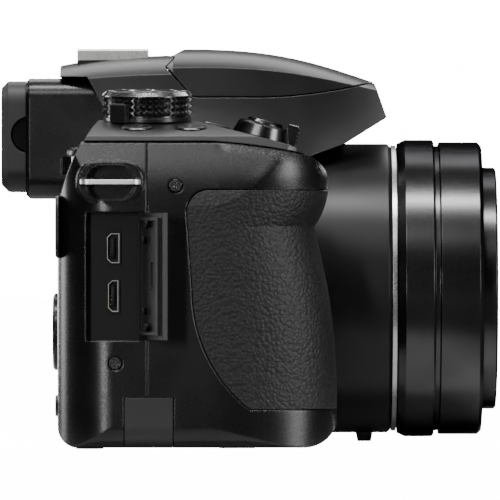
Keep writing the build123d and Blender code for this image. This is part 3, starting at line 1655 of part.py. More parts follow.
def build_flash_switch():
    """The ridged flash release button."""
    thick = flash_switch_thickness
    body = Box(flash_switch_length, flash_switch_width, thick)
    ribs = []
    for index in range(flash_switch_ribs):
        x = flash_switch_length * ((index + 0.5) / flash_switch_ribs - 0.5)
        ribs.append(Pos(x, 0, thick / 2) * Box(flash_switch_rib, flash_switch_width, flash_switch_rib))
    return flash_switch_place() * (body + ribs)


# Writing the files


def gather():
    """Every node's name with its solid or solids."""
    parts = {}
    covers = build_covers()
    parts.update(zip(("front_cover", "rear_cover", "grip_rubber", "supply_flap"), covers))
    parts["top_cover"] = build_top_cover()
    parts.update(build_lens())
    parts.update(zip(("flash_cover", "flash_window", "flash_tube"), build_flash()))
    parts["flash_pin"] = flash_pin(0)
    parts["shoe_base"], parts["shoe_rails"] = build_shoe()
    names = ("finder_housing", "eyecup", "eyepiece_lens", "finder_display", "diopter_dial")
    parts.update(zip(names, build_finder()))
    parts["mode_dial"] = on_deck(*dial_place, lever_thickness + control_gap) * knurled_dial()
    parts["power_lever"] = on_deck(*dial_place, control_gap / 2) * build_power_lever()
    parts["shutter_button"] = on_deck(*shutter_place) * build_shutter()
    parts["zoom_lever"] = on_deck(*shutter_place) * build_zoom_lever()
    for name, place, radius in deck_buttons():
        parts[name] = place * button_cap(radius, button_rise, button_depth)
    for name, place, radius in rear_button_places():
        parts[name] = place * button_cap(radius, button_rise, rear_button_depth)
    parts["rear_dial"] = build_rear_dial()
    parts["direction_pad"], parts["pad_button"] = build_pad()
    parts["thumb_rest"] = thumb_rest_form(0)
    parts["monitor_glass"], parts["monitor_panel"] = build_monitor()
    parts["port_panel"] = build_port_panel()
    parts["hdmi_socket"] = build_socket(hdmi_height, hdmi_length, hdmi_width)
    parts["usb_socket"] = build_socket(usb_height, usb_length, usb_width)
    parts["port_door"] = build_port_door()
    parts["battery_door"], parts["battery_latch"] = build_battery_door()
    parts["battery"], parts["battery_holder"], parts["memory_card"] = build_battery()
    parts["tripod_bush"] = build_tripod_bush()
    parts["case_screws"] = Compound(children=solids_of(build_screws()))
    parts["strap_lugs"] = Compound(children=solids_of(build_strap_lugs()))
    parts["rubber_feet"] = Compound(children=solids_of([foot_pad(place) for place in foot_places]))
    parts["focus_lamp"] = lamp_solid(0)
    parts["flash_switch"] = build_flash_switch()
    half_w, half_h = sensor_width / 2 + wall, sensor_height / 2 + wall
    parts["image_sensor"] = block(
        -half_w, half_w, base_rear, base_rear + sensor_thickness, axis_height - half_h, axis_height + half_h
    )
    parts["main_board"] = block(
        board_right, board_left, board_front, board_front + board_thickness, board_bottom, board_top
    )
    return parts


def solids_of(shapes):
    """All solids of a list of shapes."""
    return [solid for shape in shapes for solid in shape.solids()]


def main():
    """Builds every piece and writes one STEP file per node."""
    os.makedirs("parts", exist_ok=True)
    for name, shape in gather().items():
        export_step(shape, f"parts/{name}.step")


if __name__ == "__main__":
    main()
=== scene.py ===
import json
import math

import bmesh
import bpy
from mathutils import Matrix, Vector


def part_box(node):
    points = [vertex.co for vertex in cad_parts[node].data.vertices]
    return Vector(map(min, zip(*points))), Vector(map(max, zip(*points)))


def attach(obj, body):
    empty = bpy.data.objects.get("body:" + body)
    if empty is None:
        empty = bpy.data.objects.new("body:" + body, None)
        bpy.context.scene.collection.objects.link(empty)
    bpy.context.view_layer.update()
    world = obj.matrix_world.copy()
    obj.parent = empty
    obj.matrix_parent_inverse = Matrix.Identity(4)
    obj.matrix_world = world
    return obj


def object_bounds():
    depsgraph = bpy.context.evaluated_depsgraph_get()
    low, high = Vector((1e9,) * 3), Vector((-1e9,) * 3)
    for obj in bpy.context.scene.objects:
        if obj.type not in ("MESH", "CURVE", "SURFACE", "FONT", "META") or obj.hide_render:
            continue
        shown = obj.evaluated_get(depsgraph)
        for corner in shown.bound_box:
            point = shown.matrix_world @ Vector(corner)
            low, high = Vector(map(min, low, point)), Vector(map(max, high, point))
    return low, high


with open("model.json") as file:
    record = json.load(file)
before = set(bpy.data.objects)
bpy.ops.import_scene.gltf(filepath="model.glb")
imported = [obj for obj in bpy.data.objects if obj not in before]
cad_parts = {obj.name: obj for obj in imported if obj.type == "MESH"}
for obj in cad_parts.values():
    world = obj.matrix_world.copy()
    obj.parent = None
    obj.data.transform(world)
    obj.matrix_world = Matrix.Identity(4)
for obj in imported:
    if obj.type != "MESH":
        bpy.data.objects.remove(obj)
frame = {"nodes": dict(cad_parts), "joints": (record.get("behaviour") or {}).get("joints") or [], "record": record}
cad_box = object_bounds()

MM = 0.001

# Camera of the photograph: square on the grip side, level, from far off, in metres
CAMERA_DISTANCE = 2.0
CAMERA_SIDE = -0.014
CAMERA_HEIGHT = 0.04587
CAMERA_CLIP = (0.05, 50.0)
# Its sensor and lens, in millimetres
SENSOR_WIDTH = 36.0
LENS_LENGTH = 599.04

# Studio, with its lengths in metres
FLOOR_REACH = 6.0
FLOOR_PALE = 0.6
FLOOR_FALL = 0.1
FLOOR_NEAR = 0.078
FLOOR_FAR = 0.1
FLOOR_GLOW = 15.0
PAPER_ROUGHNESS = 0.9
FIBRE_SHADE = 0.99
SEEN_WHITE = 16.0
FELT_WHITE = 0.02
LIT_POINT = (0.0, -0.01, 0.045)
# Bearing from the grip side towards the back and elevation, in degrees, then distance, width, height, watts
SOFT_BOXES = {
    "top_box": (0.0, 71.5, 1.0, 1.2, 0.12, 14.5),
    "shoulder_box": (18.0, 41.0, 1.1, 0.45, 0.22, 3.1),
    "back_box": (182.0, 52.0, 1.4, 1.6, 0.8, 15.0),
    "rear_strip": (19.5, 0.0, 1.2, 0.09, 0.5, 5.4),
    "rear_side": (120.0, 10.0, 1.2, 0.42, 0.7, 6.6),
    "left_front": (212.0, 7.0, 1.4, 0.5, 0.5, 5.0),
    "left_back": (158.0, 7.0, 1.4, 0.3, 0.5, 3.5),
    "front_side": (-54.0, 11.0, 1.2, 0.35, 0.6, 8.5),
}

# From here on every length is in millimetres
FIBRE_SIZE = 40.0

# Spans that hold most values of one noise and of the sum of two
ONE_NOISE = (0.3, 0.7)
TWO_NOISES = (0.7, 1.3)

# Moulded plastics
TONE_SIZE = 14.0
TONE_SPREAD = 0.12
GLOSS_SPREAD = 0.04
EDGE_REACH = 0.25
COAT_ROUGHNESS = 0.12
BEVEL_SAMPLES = 6
# The grip's nose blends softly into the flank round this place
NOSE_PLACE = (-75.0, -23.0, 68.0)
NOSE_REACH = (9.0, 18.0)
NOSE_RADIUS = 5.0

# Leather of the grip
LEATHER_COLOUR = (0.009, 0.009, 0.0092)
LEATHER_ROUGHNESS = (0.44, 0.6)
LEATHER_SPECULAR = 0.4
LEATHER_RELIEF = 0.14
LEATHER_EDGE = 0.3
PEBBLE_SIZE = 0.78
PEBBLE_SMOOTHNESS = 0.4
PEBBLE_SPAN = (0.2, 0.75)
# Colour shares from pebble top to crease: painted shade that follows the relief
PEBBLE_PAINTED_SHADE_SHARES = (1.25, 0.55)
PEBBLE_DRIFT = 0.7
PEBBLE_DRIFT_SIZE = 1 / 0.7
PORE_SIZE = 0.3
PORE_SHARE = 0.25

# Metals
STAIN_SIZE = 6.0
STAIN_TONE_SHARES = (0.9, 1.08)
MARK_ROUGHNESS_SHARES = (0.8, 1.25)
RING_REFLECTANCE = 0.08
RING_TINT = (1.0, 1.0, 1.02)
RING_TONE_SIZE = 9.0
RING_TONE_SHARES = (0.9, 1.1)
RING_MARK_SIZE = 0.5
RING_ROUGHNESS = (0.22, 0.26)
RING_RELIEF = 0.0005
RING_EDGE = 0.2
RING_GLEAM = 0.2
DIAL_BLACK = (0.006, 0.006, 0.0062, 1.0)
DIAL_BARE = (0.42, 0.42, 0.43, 1.0)
DIAL_MARK_SIZE = 0.2
DIAL_ROUGHNESS = (0.12, 0.24)
DIAL_RELIEF = 0.001
DIAL_EDGE = 0.06
# Heights along the dial's own axis between which its bevel fades to bare metal and back
DIAL_BARE_START = (6.1, 6.15)
DIAL_BARE_END = (6.96, 6.98)

# Glass
GLASS_DRIFT_SIZE = 20.0
GLASS_SHADE = 0.92
GLASS_ROUGHNESS = (0.01, 0.03)
GLASS_IOR = 1.5
FILM_IOR = 1.38

# Nodes that look unlike the rest of their slot
NODE_FINISH = {"rear_dial": "wheel_black", "diopter_dial": "wheel_black"}

# Added pieces, whose outlines to revolve are pairs of radius and height
STEPS = 72
SMALL_STEPS = 24
SMOOTH_ANGLE = 35.0
WELD = 0.0005
NEARLY_PARALLEL = 0.01

# Baffle, inner element and iris behind the front glass
BAFFLE_STEPS = 6
BAFFLE_MOUTH = 23.6
BAFFLE_THROAT = 13.5
BAFFLE_LENGTH = 15.0
BAFFLE_WALL = 1.2
BAFFLE_GAP = 0.4
ELEMENT_STEPS = 8
ELEMENT_RADIUS = 14.0
ELEMENT_CROWN = 3.0
ELEMENT_RIM = 1.0
ELEMENT_BACK_SHARE = 1 / 3
IRIS_BLADES = 7
IRIS_OPENING = 5.0
IRIS_GAP = 4.0
BLADE_ROOT = 14.5
BLADE_TIP = 15.5
BLADE_SWEEP = 5.0
BLADE_LAP = 0.4
BLADE_THICKNESS = 0.12
BLADE_STAGGER = 0.15

# Threads by mount: piece, body, slot, then pitch, depth and the bare ends inside and at the mouth
THREADS = {
    "filter_thread": ("filter_thread_ridges", "zoom_front", "gloss_black", (0.75, 0.28, 0.3, 0.2)),
    "tripod_socket": ("tripod_thread_ridges", "camera", "bush_steel", (1.27, 0.4, 0.2, 0.2)),
}
THREAD_STEPS = 96
THREAD_ROOT = 0.05
CREST_SHARES = (0.45, 0.55)

# Mode dial's top, with the dish that its plate lies in
DIAL_TOP = 7.02
DISH_RADIUS = 7.6
DISH_DEPTH = 0.5
PLATE_GAP = 0.15
PLATE_THICKNESS = 0.3
PLATE_BEVEL = (0.3, 0.22)
GROOVES = 4
GROOVE_MARGIN = 0.9
GROOVE_PITCH = 1.2
GROOVE_WIDTH = 0.4
GROOVE_SLOPE = 0.1
GROOVE_FLOOR = 0.22
CAP_RADIUS = 2.0
CAP_SLOPE = 0.2
CAP_RIM = 0.42
CAP_CROWN = 0.46
DIAL_MARKS = 9
DIAL_DOT_EVERY = 3
DIAL_MARK_RADIUS = 8.7
DIAL_BAR = (1.2, 0.3, 0.08)
DIAL_BAR_ROUNDING = 0.02
DIAL_DOT = ((0.0, 0.0), (0.4, 0.0), (0.4, 0.03), (0.3, 0.05), (0.0, 0.05))
DIAL_DOT_STEPS = 20

# Plug sockets
SOCKETS = ("hdmi_socket", "usb_socket")
SOCKET_SHELL = 0.35
LINING_DROP = 1.3
LINING_BEVEL = 0.8
TONGUE_THICKNESS = 0.95
TONGUE_MARGIN = 1.0
TONGUE_ROUNDING = 0.1
CONTACTS = 5
CONTACT_SIZE = (1.2, 0.06, 0.35)
CONTACT_ROUNDING = 0.01
CONTACT_DEPTH = 1.2
CONTACT_MARGIN = 1.6
BEZEL_OUTSIDE = 0.3
BEZEL_OUTER_BEVEL = 1.15
BEZEL_INSIDE = 0.16
BEZEL_INNER_BEVEL = 0.93
BEZEL_HEIGHT = 0.1
BEZEL_SINK = 0.02

# Port door, modelled open by this angle in degrees; what it carries has its place along and up its face
DOOR_OPEN = 115.0
DOOR_FACE = 1.497
HINGE_POST_STEPS = 28
HINGE_POST_SHARES = (0.16, 0.84)
HINGE_POST_RADIUS = 0.62
HINGE_POST_LENGTH = 4.2
HINGE_POST_BEVEL = 0.15
STUD_PLACES = ((5.9, 12.11), (5.9, -11.62))
STUD = ((0.0, -0.2), (0.95, -0.2), (0.95, 0.9), (0.75, 1.15), (0.4, 1.2), (0.35, 0.9), (0.0, 0.85))
HOOK_PLACES = ((4.5, 8.42), (4.5, -7.95))
HOOK_STEM = (0.5, 1.6, 1.3)
HOOK_STEM_LEVEL = 0.45
HOOK_LIP = (1.1, 1.6, 0.4)
HOOK_LIP_SHIFT = (0.4, 0.0, 0.55)
HOOK_ROUNDING = 0.08
LATCH_PLACE = (8.75, 0.25)
LATCH_SIZE = (3.4, 6.6)
LATCH_ROUNDING = 1.0
LATCH_RIM = 0.3
LATCH_HEIGHT = 0.3
LATCH_BED_HEIGHT = 0.06
LATCH_SLOT = (1.4, 5.8)
LATCH_SLOT_ROUNDING = 0.1

# Monitor, shoe, signs and speaker
SCREEN_SIZE = (62.0, 41.5)
SCREEN_ROUNDING = 0.3
SCREEN_HEIGHT = 0.03
SCREEN_SINK = 0.01
SHOE_CONTACT = ((0.0, -0.1), (0.85, -0.1), (0.85, 0.02), (0.6, 0.14), (0.0, 0.18))
# Place across the shoe, and share of its length
SHOE_CONTACT_PLACES = ((0.0, 0.45), (3.2, 0.62), (-3.2, 0.62), (5.4, 0.36))
SIGN_HEIGHT = 0.03
PAD_ARROW = ((5.9, -0.5), (6.8, 0.0), (5.9, 0.5))
CLOTH_PLACE = (39.5, 6.0, 70.9)
CLOTH = ((0.0, 0.0), (3.6, 0.0), (3.8, 0.2), (3.6, 0.4), (0.0, 0.45))
CLOTH_STEPS = 40


def times(factor, values):
    """Each value times a factor."""
    return tuple(factor * value for value in values)


def about(middle, spread):
    """The span from a spread below a middle to a spread above it."""
    return (middle - spread, middle + spread)


def grey(value):
    """A neutral colour."""
    return (value, value, value, 1.0)


# Shader nodes


def feed(tree, socket, value):
    """Sets a node's input, or links it where the value is another node's output."""
    if isinstance(value, bpy.types.NodeSocket):
        tree.links.new(value, socket)
    else:
        socket.default_value = value


def add_node(tree, kind, inputs=None, **settings):
    """Adds a shader node; an input's value is a number, a colour or another node's output."""
    made = tree.nodes.new(kind)
    for key, value in settings.items():
        setattr(made, key, value)
    for key, value in (inputs or {}).items():
        feed(tree, made.inputs[key], value)
    return made


def new_material(name):
    """A material with one Principled shader, and its node tree."""
    material = bpy.data.materials.new(name)
    material.use_nodes = True
    tree = material.node_tree
    tree.nodes.clear()
    shader = add_node(tree, "ShaderNodeBsdfPrincipled")
    add_node(tree, "ShaderNodeOutputMaterial", {"Surface": shader.outputs["BSDF"]})
    return material, tree, shader


def object_point(tree):
    """The surface point in the object's own metres."""
    return add_node(tree, "ShaderNodeTexCoord").outputs["Object"]


def noise(tree, point, size, detail=2.0, roughness=0.5, output="Fac"):
    """Soft noise whose lumps are about size millimetres apart."""
    inputs = {"Vector": point, "Scale": 1 / (size * MM), "Detail": detail, "Roughness": roughness}
    return add_node(tree, "ShaderNodeTexNoise", inputs).outputs[output]


def cells(tree, point, size, smoothness):
    """Rounded cells about size millimetres across."""
    inputs = {"Vector": point, "Scale": 1 / (size * MM), "Smoothness": smoothness}
    return add_node(tree, "ShaderNodeTexVoronoi", inputs, feature="SMOOTH_F1").outputs["Distance"]


def remap(tree, value, source, target):
    """Maps one span of values to another."""
    inputs = {"Value": value, "From Min": source[0], "From Max": source[1]}
    inputs.update({"To Min": target[0], "To Max": target[1]})
    return add_node(tree, "ShaderNodeMapRange", inputs).outputs["Result"]


def added(tree, first, second):
    """The sum of two values."""
    return add_node(tree, "ShaderNodeMath", {0: first, 1: second}, operation="ADD").outputs[0]


def multiplied(tree, first, second):
    """The product of two values."""
    return add_node(tree, "ShaderNodeMath", {0: first, 1: second}, operation="MULTIPLY").outputs[0]


def scaled(tree, colour, factor):
    """A colour made lighter or darker."""
    return add_node(tree, "ShaderNodeVectorMath", {0: colour, "Scale": factor}, operation="SCALE").outputs[0]


def mixed(tree, kind, factor, first, second):
    """Two colours (kind RGBA) or two directions (kind VECTOR) mixed by a factor."""
    made = add_node(tree, "ShaderNodeMix", data_type=kind)
    feed(tree, next(socket for socket in made.inputs if socket.name == "Factor"), factor)
    for name, value in (("A", first), ("B", second)):
        feed(tree, next(s for s in made.inputs if s.name == name and s.type == kind), value)
    return next(socket for socket in made.outputs if socket.type == kind)


def rounded_normal(tree, radius):
    """A normal that rounds the piece's sharp edges."""
    inputs = {"Radius": radius * MM}
    return add_node(tree, "ShaderNodeBevel", inputs, samples=BEVEL_SAMPLES).outputs["Normal"]


def bump(tree, height, relief, normal):
    """A relief over another normal."""
    inputs = {"Height": height, "Distance": relief * MM, "Strength": 1.0, "Normal": normal}
    return add_node(tree, "ShaderNodeBump", inputs).outputs["Normal"]


def eased_nose(tree, point, normal):
    """Near the grip's nose the normal is averaged wider, as its blend into the flank is soft."""
    inputs = {0: point, 1: times(MM, NOSE_PLACE)}
    away = add_node(tree, "ShaderNodeVectorMath", inputs, operation="DISTANCE").outputs["Value"]
    share = remap(tree, away, times(MM, NOSE_REACH), (1.0, 0.0))
    eased = mixed(tree, "VECTOR", share, normal, rounded_normal(tree, NOSE_RADIUS))
    return add_node(tree, "ShaderNodeVectorMath", {0: eased}, operation="NORMALIZE").outputs[0]


def edge_mask(tree, normal):
    """1 on the rounded edges, 0 on the open faces."""
    inputs = {0: normal, 1: add_node(tree, "ShaderNodeNewGeometry").outputs["Normal"]}
    dot = add_node(tree, "ShaderNodeVectorMath", inputs, operation="DOT_PRODUCT").outputs["Value"]
    return remap(tree, dot, (1 - EDGE_REACH, 1.0), (1.0, 0.0))


# Finishes


def moulded(
    name, colour, roughness, grain=0.28, relief=0.012, edge=0.25, wear=1.5, specular=0.5, coat=0.0,
    nose=False,
):
    """Moulded plastic: spark-eroded grain, a slow change of tone and gloss, lighter worn edges."""
    material, tree, shader = new_material(name)
    point = object_point(tree)
    fine = noise(tree, point, grain, detail=3.0, roughness=0.6)
    coarse = noise(tree, point, TONE_SIZE)
    normal = rounded_normal(tree, edge)
    if nose:
        normal = eased_nose(tree, point, normal)
    worn = (*times(wear, colour[:3]), 1.0)
    base = mixed(tree, "RGBA", edge_mask(tree, normal), colour, worn)
    tone = remap(tree, coarse, ONE_NOISE, about(1.0, TONE_SPREAD))
    tree.links.new(scaled(tree, base, tone), shader.inputs["Base Color"])
    gloss = remap(tree, added(tree, fine, coarse), TWO_NOISES, about(roughness, GLOSS_SPREAD))
    tree.links.new(gloss, shader.inputs["Roughness"])
    tree.links.new(bump(tree, fine, relief, normal), shader.inputs["Normal"])
    shader.inputs["Specular IOR Level"].default_value = specular
    shader.inputs["Coat Weight"].default_value = coat
    shader.inputs["Coat Roughness"].default_value = COAT_ROUGHNESS
    return material


def leather_rubber():
    """Rubber moulded as pebbled leather; painted shade darkens its creases and lightens its pebble tops."""
    material, tree, shader = new_material("grip_leather")
    point = object_point(tree)
    drift = noise(tree, point, PEBBLE_DRIFT_SIZE, output="Color")
    inputs = {0: drift, 1: (PEBBLE_DRIFT * MM,) * 3, 2: point}
    moved = add_node(tree, "ShaderNodeVectorMath", inputs, operation="MULTIPLY_ADD").outputs[0]
    pebbles = cells(tree, moved, PEBBLE_SIZE, PEBBLE_SMOOTHNESS)
    pores = noise(tree, point, PORE_SIZE)
    # Painted shade: the colour is lighter on the pebble domes and darker in the creases between them
    tone = remap(tree, pebbles, PEBBLE_SPAN, PEBBLE_PAINTED_SHADE_SHARES)
    tree.links.new(scaled(tree, LEATHER_COLOUR, tone), shader.inputs["Base Color"])
    tree.links.new(remap(tree, pores, ONE_NOISE, LEATHER_ROUGHNESS), shader.inputs["Roughness"])
    height = added(tree, multiplied(tree, pebbles, -1.0), multiplied(tree, pores, PORE_SHARE))
    normal = bump(tree, height, LEATHER_RELIEF, rounded_normal(tree, LEATHER_EDGE))
    tree.links.new(normal, shader.inputs["Normal"])
    shader.inputs["Specular IOR Level"].default_value = LEATHER_SPECULAR
    return material


def metal(name, colour, roughness, grain=0.15, relief=0.003, edge=0.2):
    """Machined or plated metal with faint tool marks."""
    material, tree, shader = new_material(name)
    point = object_point(tree)
    marks = noise(tree, point, grain, detail=3.0)
    tone = remap(tree, noise(tree, point, STAIN_SIZE), ONE_NOISE, STAIN_TONE_SHARES)
    tree.links.new(scaled(tree, colour, tone), shader.inputs["Base Color"])
    gloss = remap(tree, marks, ONE_NOISE, times(roughness, MARK_ROUGHNESS_SHARES))
    tree.links.new(gloss, shader.inputs["Roughness"])
    tree.links.new(bump(tree, marks, relief, rounded_normal(tree, edge)), shader.inputs["Normal"])
    shader.inputs["Metallic"].default_value = 1.0
    return material


def anodised_ring():
    """Black anodised metal: faint turning marks, little gleam at a low angle."""
    material, tree, shader = new_material("gloss_black")
    point = object_point(tree)
    marks = noise(tree, point, RING_MARK_SIZE, detail=3.0)
    tones = times(RING_REFLECTANCE, RING_TONE_SHARES)
    tone = remap(tree, noise(tree, point, RING_TONE_SIZE), ONE_NOISE, tones)
    tree.links.new(scaled(tree, RING_TINT, tone), shader.inputs["Base Color"])
    tree.links.new(remap(tree, marks, ONE_NOISE, RING_ROUGHNESS), shader.inputs["Roughness"])
    normal = bump(tree, marks, RING_RELIEF, rounded_normal(tree, RING_EDGE))
    tree.links.new(normal, shader.inputs["Normal"])
    shader.inputs["Metallic"].default_value = 1.0
    shader.inputs["Specular Tint"].default_value = grey(RING_GLEAM)
    return material


def turned_dial():
    """Black knurled dial whose bevel above the knurling is bare metal."""
    material, tree, shader = new_material("dial_black")
    place = joint_place("mode_dial_turn")
    axis = place.to_3x3() @ Vector((0, 0, 1))
    foot = place.translation.dot(axis)
    point = object_point(tree)
    marks = noise(tree, point, DIAL_MARK_SIZE, detail=3.0)
    inputs = {0: point, 1: tuple(axis)}
    level = add_node(tree, "ShaderNodeVectorMath", inputs, operation="DOT_PRODUCT").outputs["Value"]
    start, end = (times(MM, (foot + low, foot + high)) for low, high in (DIAL_BARE_START, DIAL_BARE_END))
    bare = multiplied(tree, remap(tree, level, start, (0.0, 1.0)), remap(tree, level, end, (1.0, 0.0)))
    tree.links.new(mixed(tree, "RGBA", bare, DIAL_BLACK, DIAL_BARE), shader.inputs["Base Color"])
    tree.links.new(bare, shader.inputs["Metallic"])
    tree.links.new(remap(tree, marks, ONE_NOISE, DIAL_ROUGHNESS), shader.inputs["Roughness"])
    normal = bump(tree, marks, DIAL_RELIEF, rounded_normal(tree, DIAL_EDGE))
    tree.links.new(normal, shader.inputs["Normal"])
    shader.inputs["Specular IOR Level"].default_value = 1.0
    return material


def coated_glass(name, tint, film):
    """Glass whose tint drifts a little, under an anti-reflection film of so many nanometres."""
    material, tree, shader = new_material(name)
    drift = noise(tree, object_point(tree), GLASS_DRIFT_SIZE, detail=1.0)
    clear, darker = (*tint, 1.0), (*times(GLASS_SHADE, tint), 1.0)
    tree.links.new(mixed(tree, "RGBA", drift, clear, darker), shader.inputs["Base Color"])
    tree.links.new(remap(tree, drift, (0.0, 1.0), GLASS_ROUGHNESS), shader.inputs["Roughness"])
    shader.inputs["Transmission Weight"].default_value = 1.0
    shader.inputs["IOR"].default_value = GLASS_IOR
    shader.inputs["Thin Film Thickness"].default_value = film
    shader.inputs["Thin Film IOR"].default_value = FILM_IOR
    return material


def make_materials():
    """One finish for each material slot of the record, and those of the added pieces."""
    return {
        "body_plastic": moulded("body_shell", grey(0.003), 0.27, relief=0.005, edge=0.7, nose=True),
        "deck_plastic": moulded("top_shell", grey(0.009), 0.33, relief=0.005, edge=0.4),
        "barrel_plastic": moulded(
            "barrel_black", grey(0.0022), 0.37, grain=0.2, relief=0.002, wear=1.3, specular=0.4
        ),
        "grip_rubber": leather_rubber(),
        "soft_rubber": moulded("soft_rubber", grey(0.013), 0.5, grain=0.2, relief=0.006),
        "gloss_black": anodised_ring(),
        "button_plastic": moulded("button_black", grey(0.010), 0.26, grain=0.3, relief=0.002, wear=2.0),
        "dial_metal": turned_dial(),
        "trim_metal": metal("trim_aluminium", (0.62, 0.62, 0.63), 0.28),
        "chrome": metal("lug_chrome", (0.95, 0.95, 0.95), 0.42),
        "shoe_steel": metal("shoe_steel", (0.66, 0.65, 0.63), 0.30),
        "screw_steel": metal("screw_black", (0.13, 0.13, 0.13), 0.25, grain=0.5, relief=0.002, edge=0.08),
        "bush_steel": metal("bush_steel", (0.6, 0.6, 0.6), 0.3),
        "socket_steel": metal("socket_steel", (0.45, 0.44, 0.42), 0.42, grain=1.0, relief=0.001, edge=0.04),
        "lens_glass": coated_glass("lens_glass", (0.93, 0.95, 0.97), film=320.0),
        "window_glass": moulded(
            "cover_glass", grey(0.003), 0.06, grain=3.0, relief=0.0, edge=0.1, wear=1.0, coat=0.3
        ),
        "flash_lens": coated_glass("flash_window", (0.9, 0.92, 0.94), film=0.0),
        "lamp_lens": coated_glass("lamp_window", (0.85, 0.3, 0.12), film=0.0),
        "inner_plastic": moulded("inner_black", grey(0.003), 0.45, grain=0.25, relief=0.004, specular=0.3),
        "battery_plastic": moulded("battery_grey", grey(0.05), 0.45),
        "board_laminate": moulded("board_green", (0.02, 0.09, 0.04, 1.0), 0.4),
        "inner_glass": coated_glass("inner_glass", (0.88, 0.84, 0.97), film=420.0),
        "mark_white": moulded("mark_white", grey(0.55), 0.5, grain=0.3, relief=0.002, edge=0.03, wear=1.0),
        "contact_gold": metal("contact_gold", (0.78, 0.58, 0.28), 0.25, edge=0.05),
        "wheel_black": moulded(
            "wheel_black", grey(0.004), 0.16, grain=0.3, relief=0.001, edge=0.08, wear=2.5
        ),
        "screen_dark": moulded(
            "screen_dark", (0.006, 0.0065, 0.008, 1.0), 0.05, grain=3.0, relief=0.0, edge=0.02, wear=1.0,
            coat=0.3,
        ),
    }


def dress_nodes():
    """Gives each CAD node its own finish, or that of its slot in the record."""
    for part in frame["record"]["subparts"]:
        slots = frame["nodes"][part["node"]].data.materials
        slots.clear()
        slots.append(materials[NODE_FINISH.get(part["node"], part["material_slot"])])


# Places


def placed(origin, axis, toward=(0, 0, 1)):
    """A place whose +Z is the axis and whose +Y leans toward a direction."""
    up = Vector(axis).normalized()
    side = Vector(toward).cross(up)
    if side.length < NEARLY_PARALLEL:
        side = Vector((0, 1, 0)).cross(up)
    side.normalize()
    ahead = up.cross(side)
    return Matrix([(side[i], ahead[i], up[i], origin[i]) for i in range(3)] + [(0, 0, 0, 1)])


def shift(*lengths):
    """A place moved along its own X, Y and Z."""
    return Matrix.Translation(lengths)


def turned(share):
    """A place turned about its own Z by a share of a full turn."""
    return Matrix.Rotation(2 * math.pi * share, 4, "Z")


def joint_place(name):
    """A hinge's place, its +Z on the joint's axis."""
    joint = next(joint for joint in frame["joints"] if joint["name"] == name)
    return placed([length / MM for length in joint["pos_m"]], joint["axis"], (0, 1, 0))


def corners(node):
    """A node's lowest and highest corner."""
    return tuple(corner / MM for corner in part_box(node))


def lens_place(depth):
    """A place on the lens axis, at a distance behind the front glass, facing forward."""
    low, high = corners("front_lens")
    return placed(((low.x + high.x) / 2, high.y + depth, (low.z + high.z) / 2), (0, -1, 0))


def on_grip_side(x, middle):
    """A place that faces -X, its own X and Y along the object's Y and Z."""
    return Matrix(((0, 0, -1, x), (1, 0, 0, middle.y), (0, 1, 0, middle.z), (0, 0, 0, 1)))


def on_back(y, middle):
    """A place that faces +Y, its own X and Y along the object's -X and Z."""
    return Matrix(((-1, 0, 0, middle.x), (0, 0, 1, y), (0, 1, 0, middle.z), (0, 0, 0, 1)))


# Mesh forms


def join_rings(mesh, first, second):
    """Quads between two closed rings of as many vertices."""
    for index in range(len(first)):
        onward = (index + 1) % len(first)
        mesh.faces.new((first[index], second[index], second[onward], first[onward]))


def add_ring(mesh, outline, level, place):
    """A ring of vertices on an outline at a level."""
    return [mesh.verts.new(place @ Vector((x, y, level))) for x, y in outline]


def add_lathe(mesh, profile, place, steps=STEPS):
    """Revolves a closed (radius, height) outline about the place's own Z."""
    rings = []
    for step in range(steps):
        turn = 2 * math.pi * step / steps
        rings.append([
            mesh.verts.new(place @ Vector((radius * math.cos(turn), radius * math.sin(turn), height)))
            for radius, height in profile
        ])
    for step, ring in enumerate(rings):
        join_rings(mesh, ring, rings[(step + 1) % steps])


def add_block(mesh, size, place, rounding):
    """A block about the place's origin, with rounded edges."""
    made = bmesh.ops.create_cube(mesh, size=1.0, matrix=place @ Matrix.Diagonal((*size, 1)))
    edges = {edge for vert in made["verts"] for edge in vert.link_edges}
    bmesh.ops.bevel(mesh, geom=list(edges), offset=rounding, segments=2, profile=0.5, affect="EDGES")


def add_prism(mesh, outline, height, place):
    """A flat outline raised by a height."""
    low = add_ring(mesh, outline, 0, place)
    high = add_ring(mesh, outline, height, place)
    mesh.faces.new(low[::-1])
    mesh.faces.new(high)
    join_rings(mesh, low, high)


def add_frame(mesh, outer, inner, height, place):
    """A frame between two outlines of as many points, raised by a height."""
    levels = ((outer, 0), (outer, height), (inner, height), (inner, 0))
    rings = [add_ring(mesh, outline, level, place) for outline, level in levels]
    for index, ring in enumerate(rings):
        join_rings(mesh, ring, rings[(index + 1) % len(rings)])


def oblong(width, length, rounding, steps=5):
    """A rectangle's outline with rounded corners, about its middle."""
    points = []
    for corner, (x, y) in enumerate(((1, 1), (-1, 1), (-1, -1), (1, -1))):
        for step in range(steps + 1):
            turn = math.pi / 2 * (corner + step / steps)
            points.append((
                x * (width / 2 - rounding) + rounding * math.cos(turn),
                y * (length / 2 - rounding) + rounding * math.sin(turn),
            ))
    return points


def bevelled(width, height, bevel):
    """A plug socket's outline, with two bevelled corners on its +X side."""
    right, top = width / 2, height / 2
    return [(-right, -top), (right - bevel, -top), (right, bevel - top), (right, top - bevel),
            (right - bevel, top), (-right, top)]


def bar(width, low, high):
    """A level bar's outline between two heights."""
    return [(-width / 2, low), (width / 2, low), (width / 2, high), (-width / 2, high)]


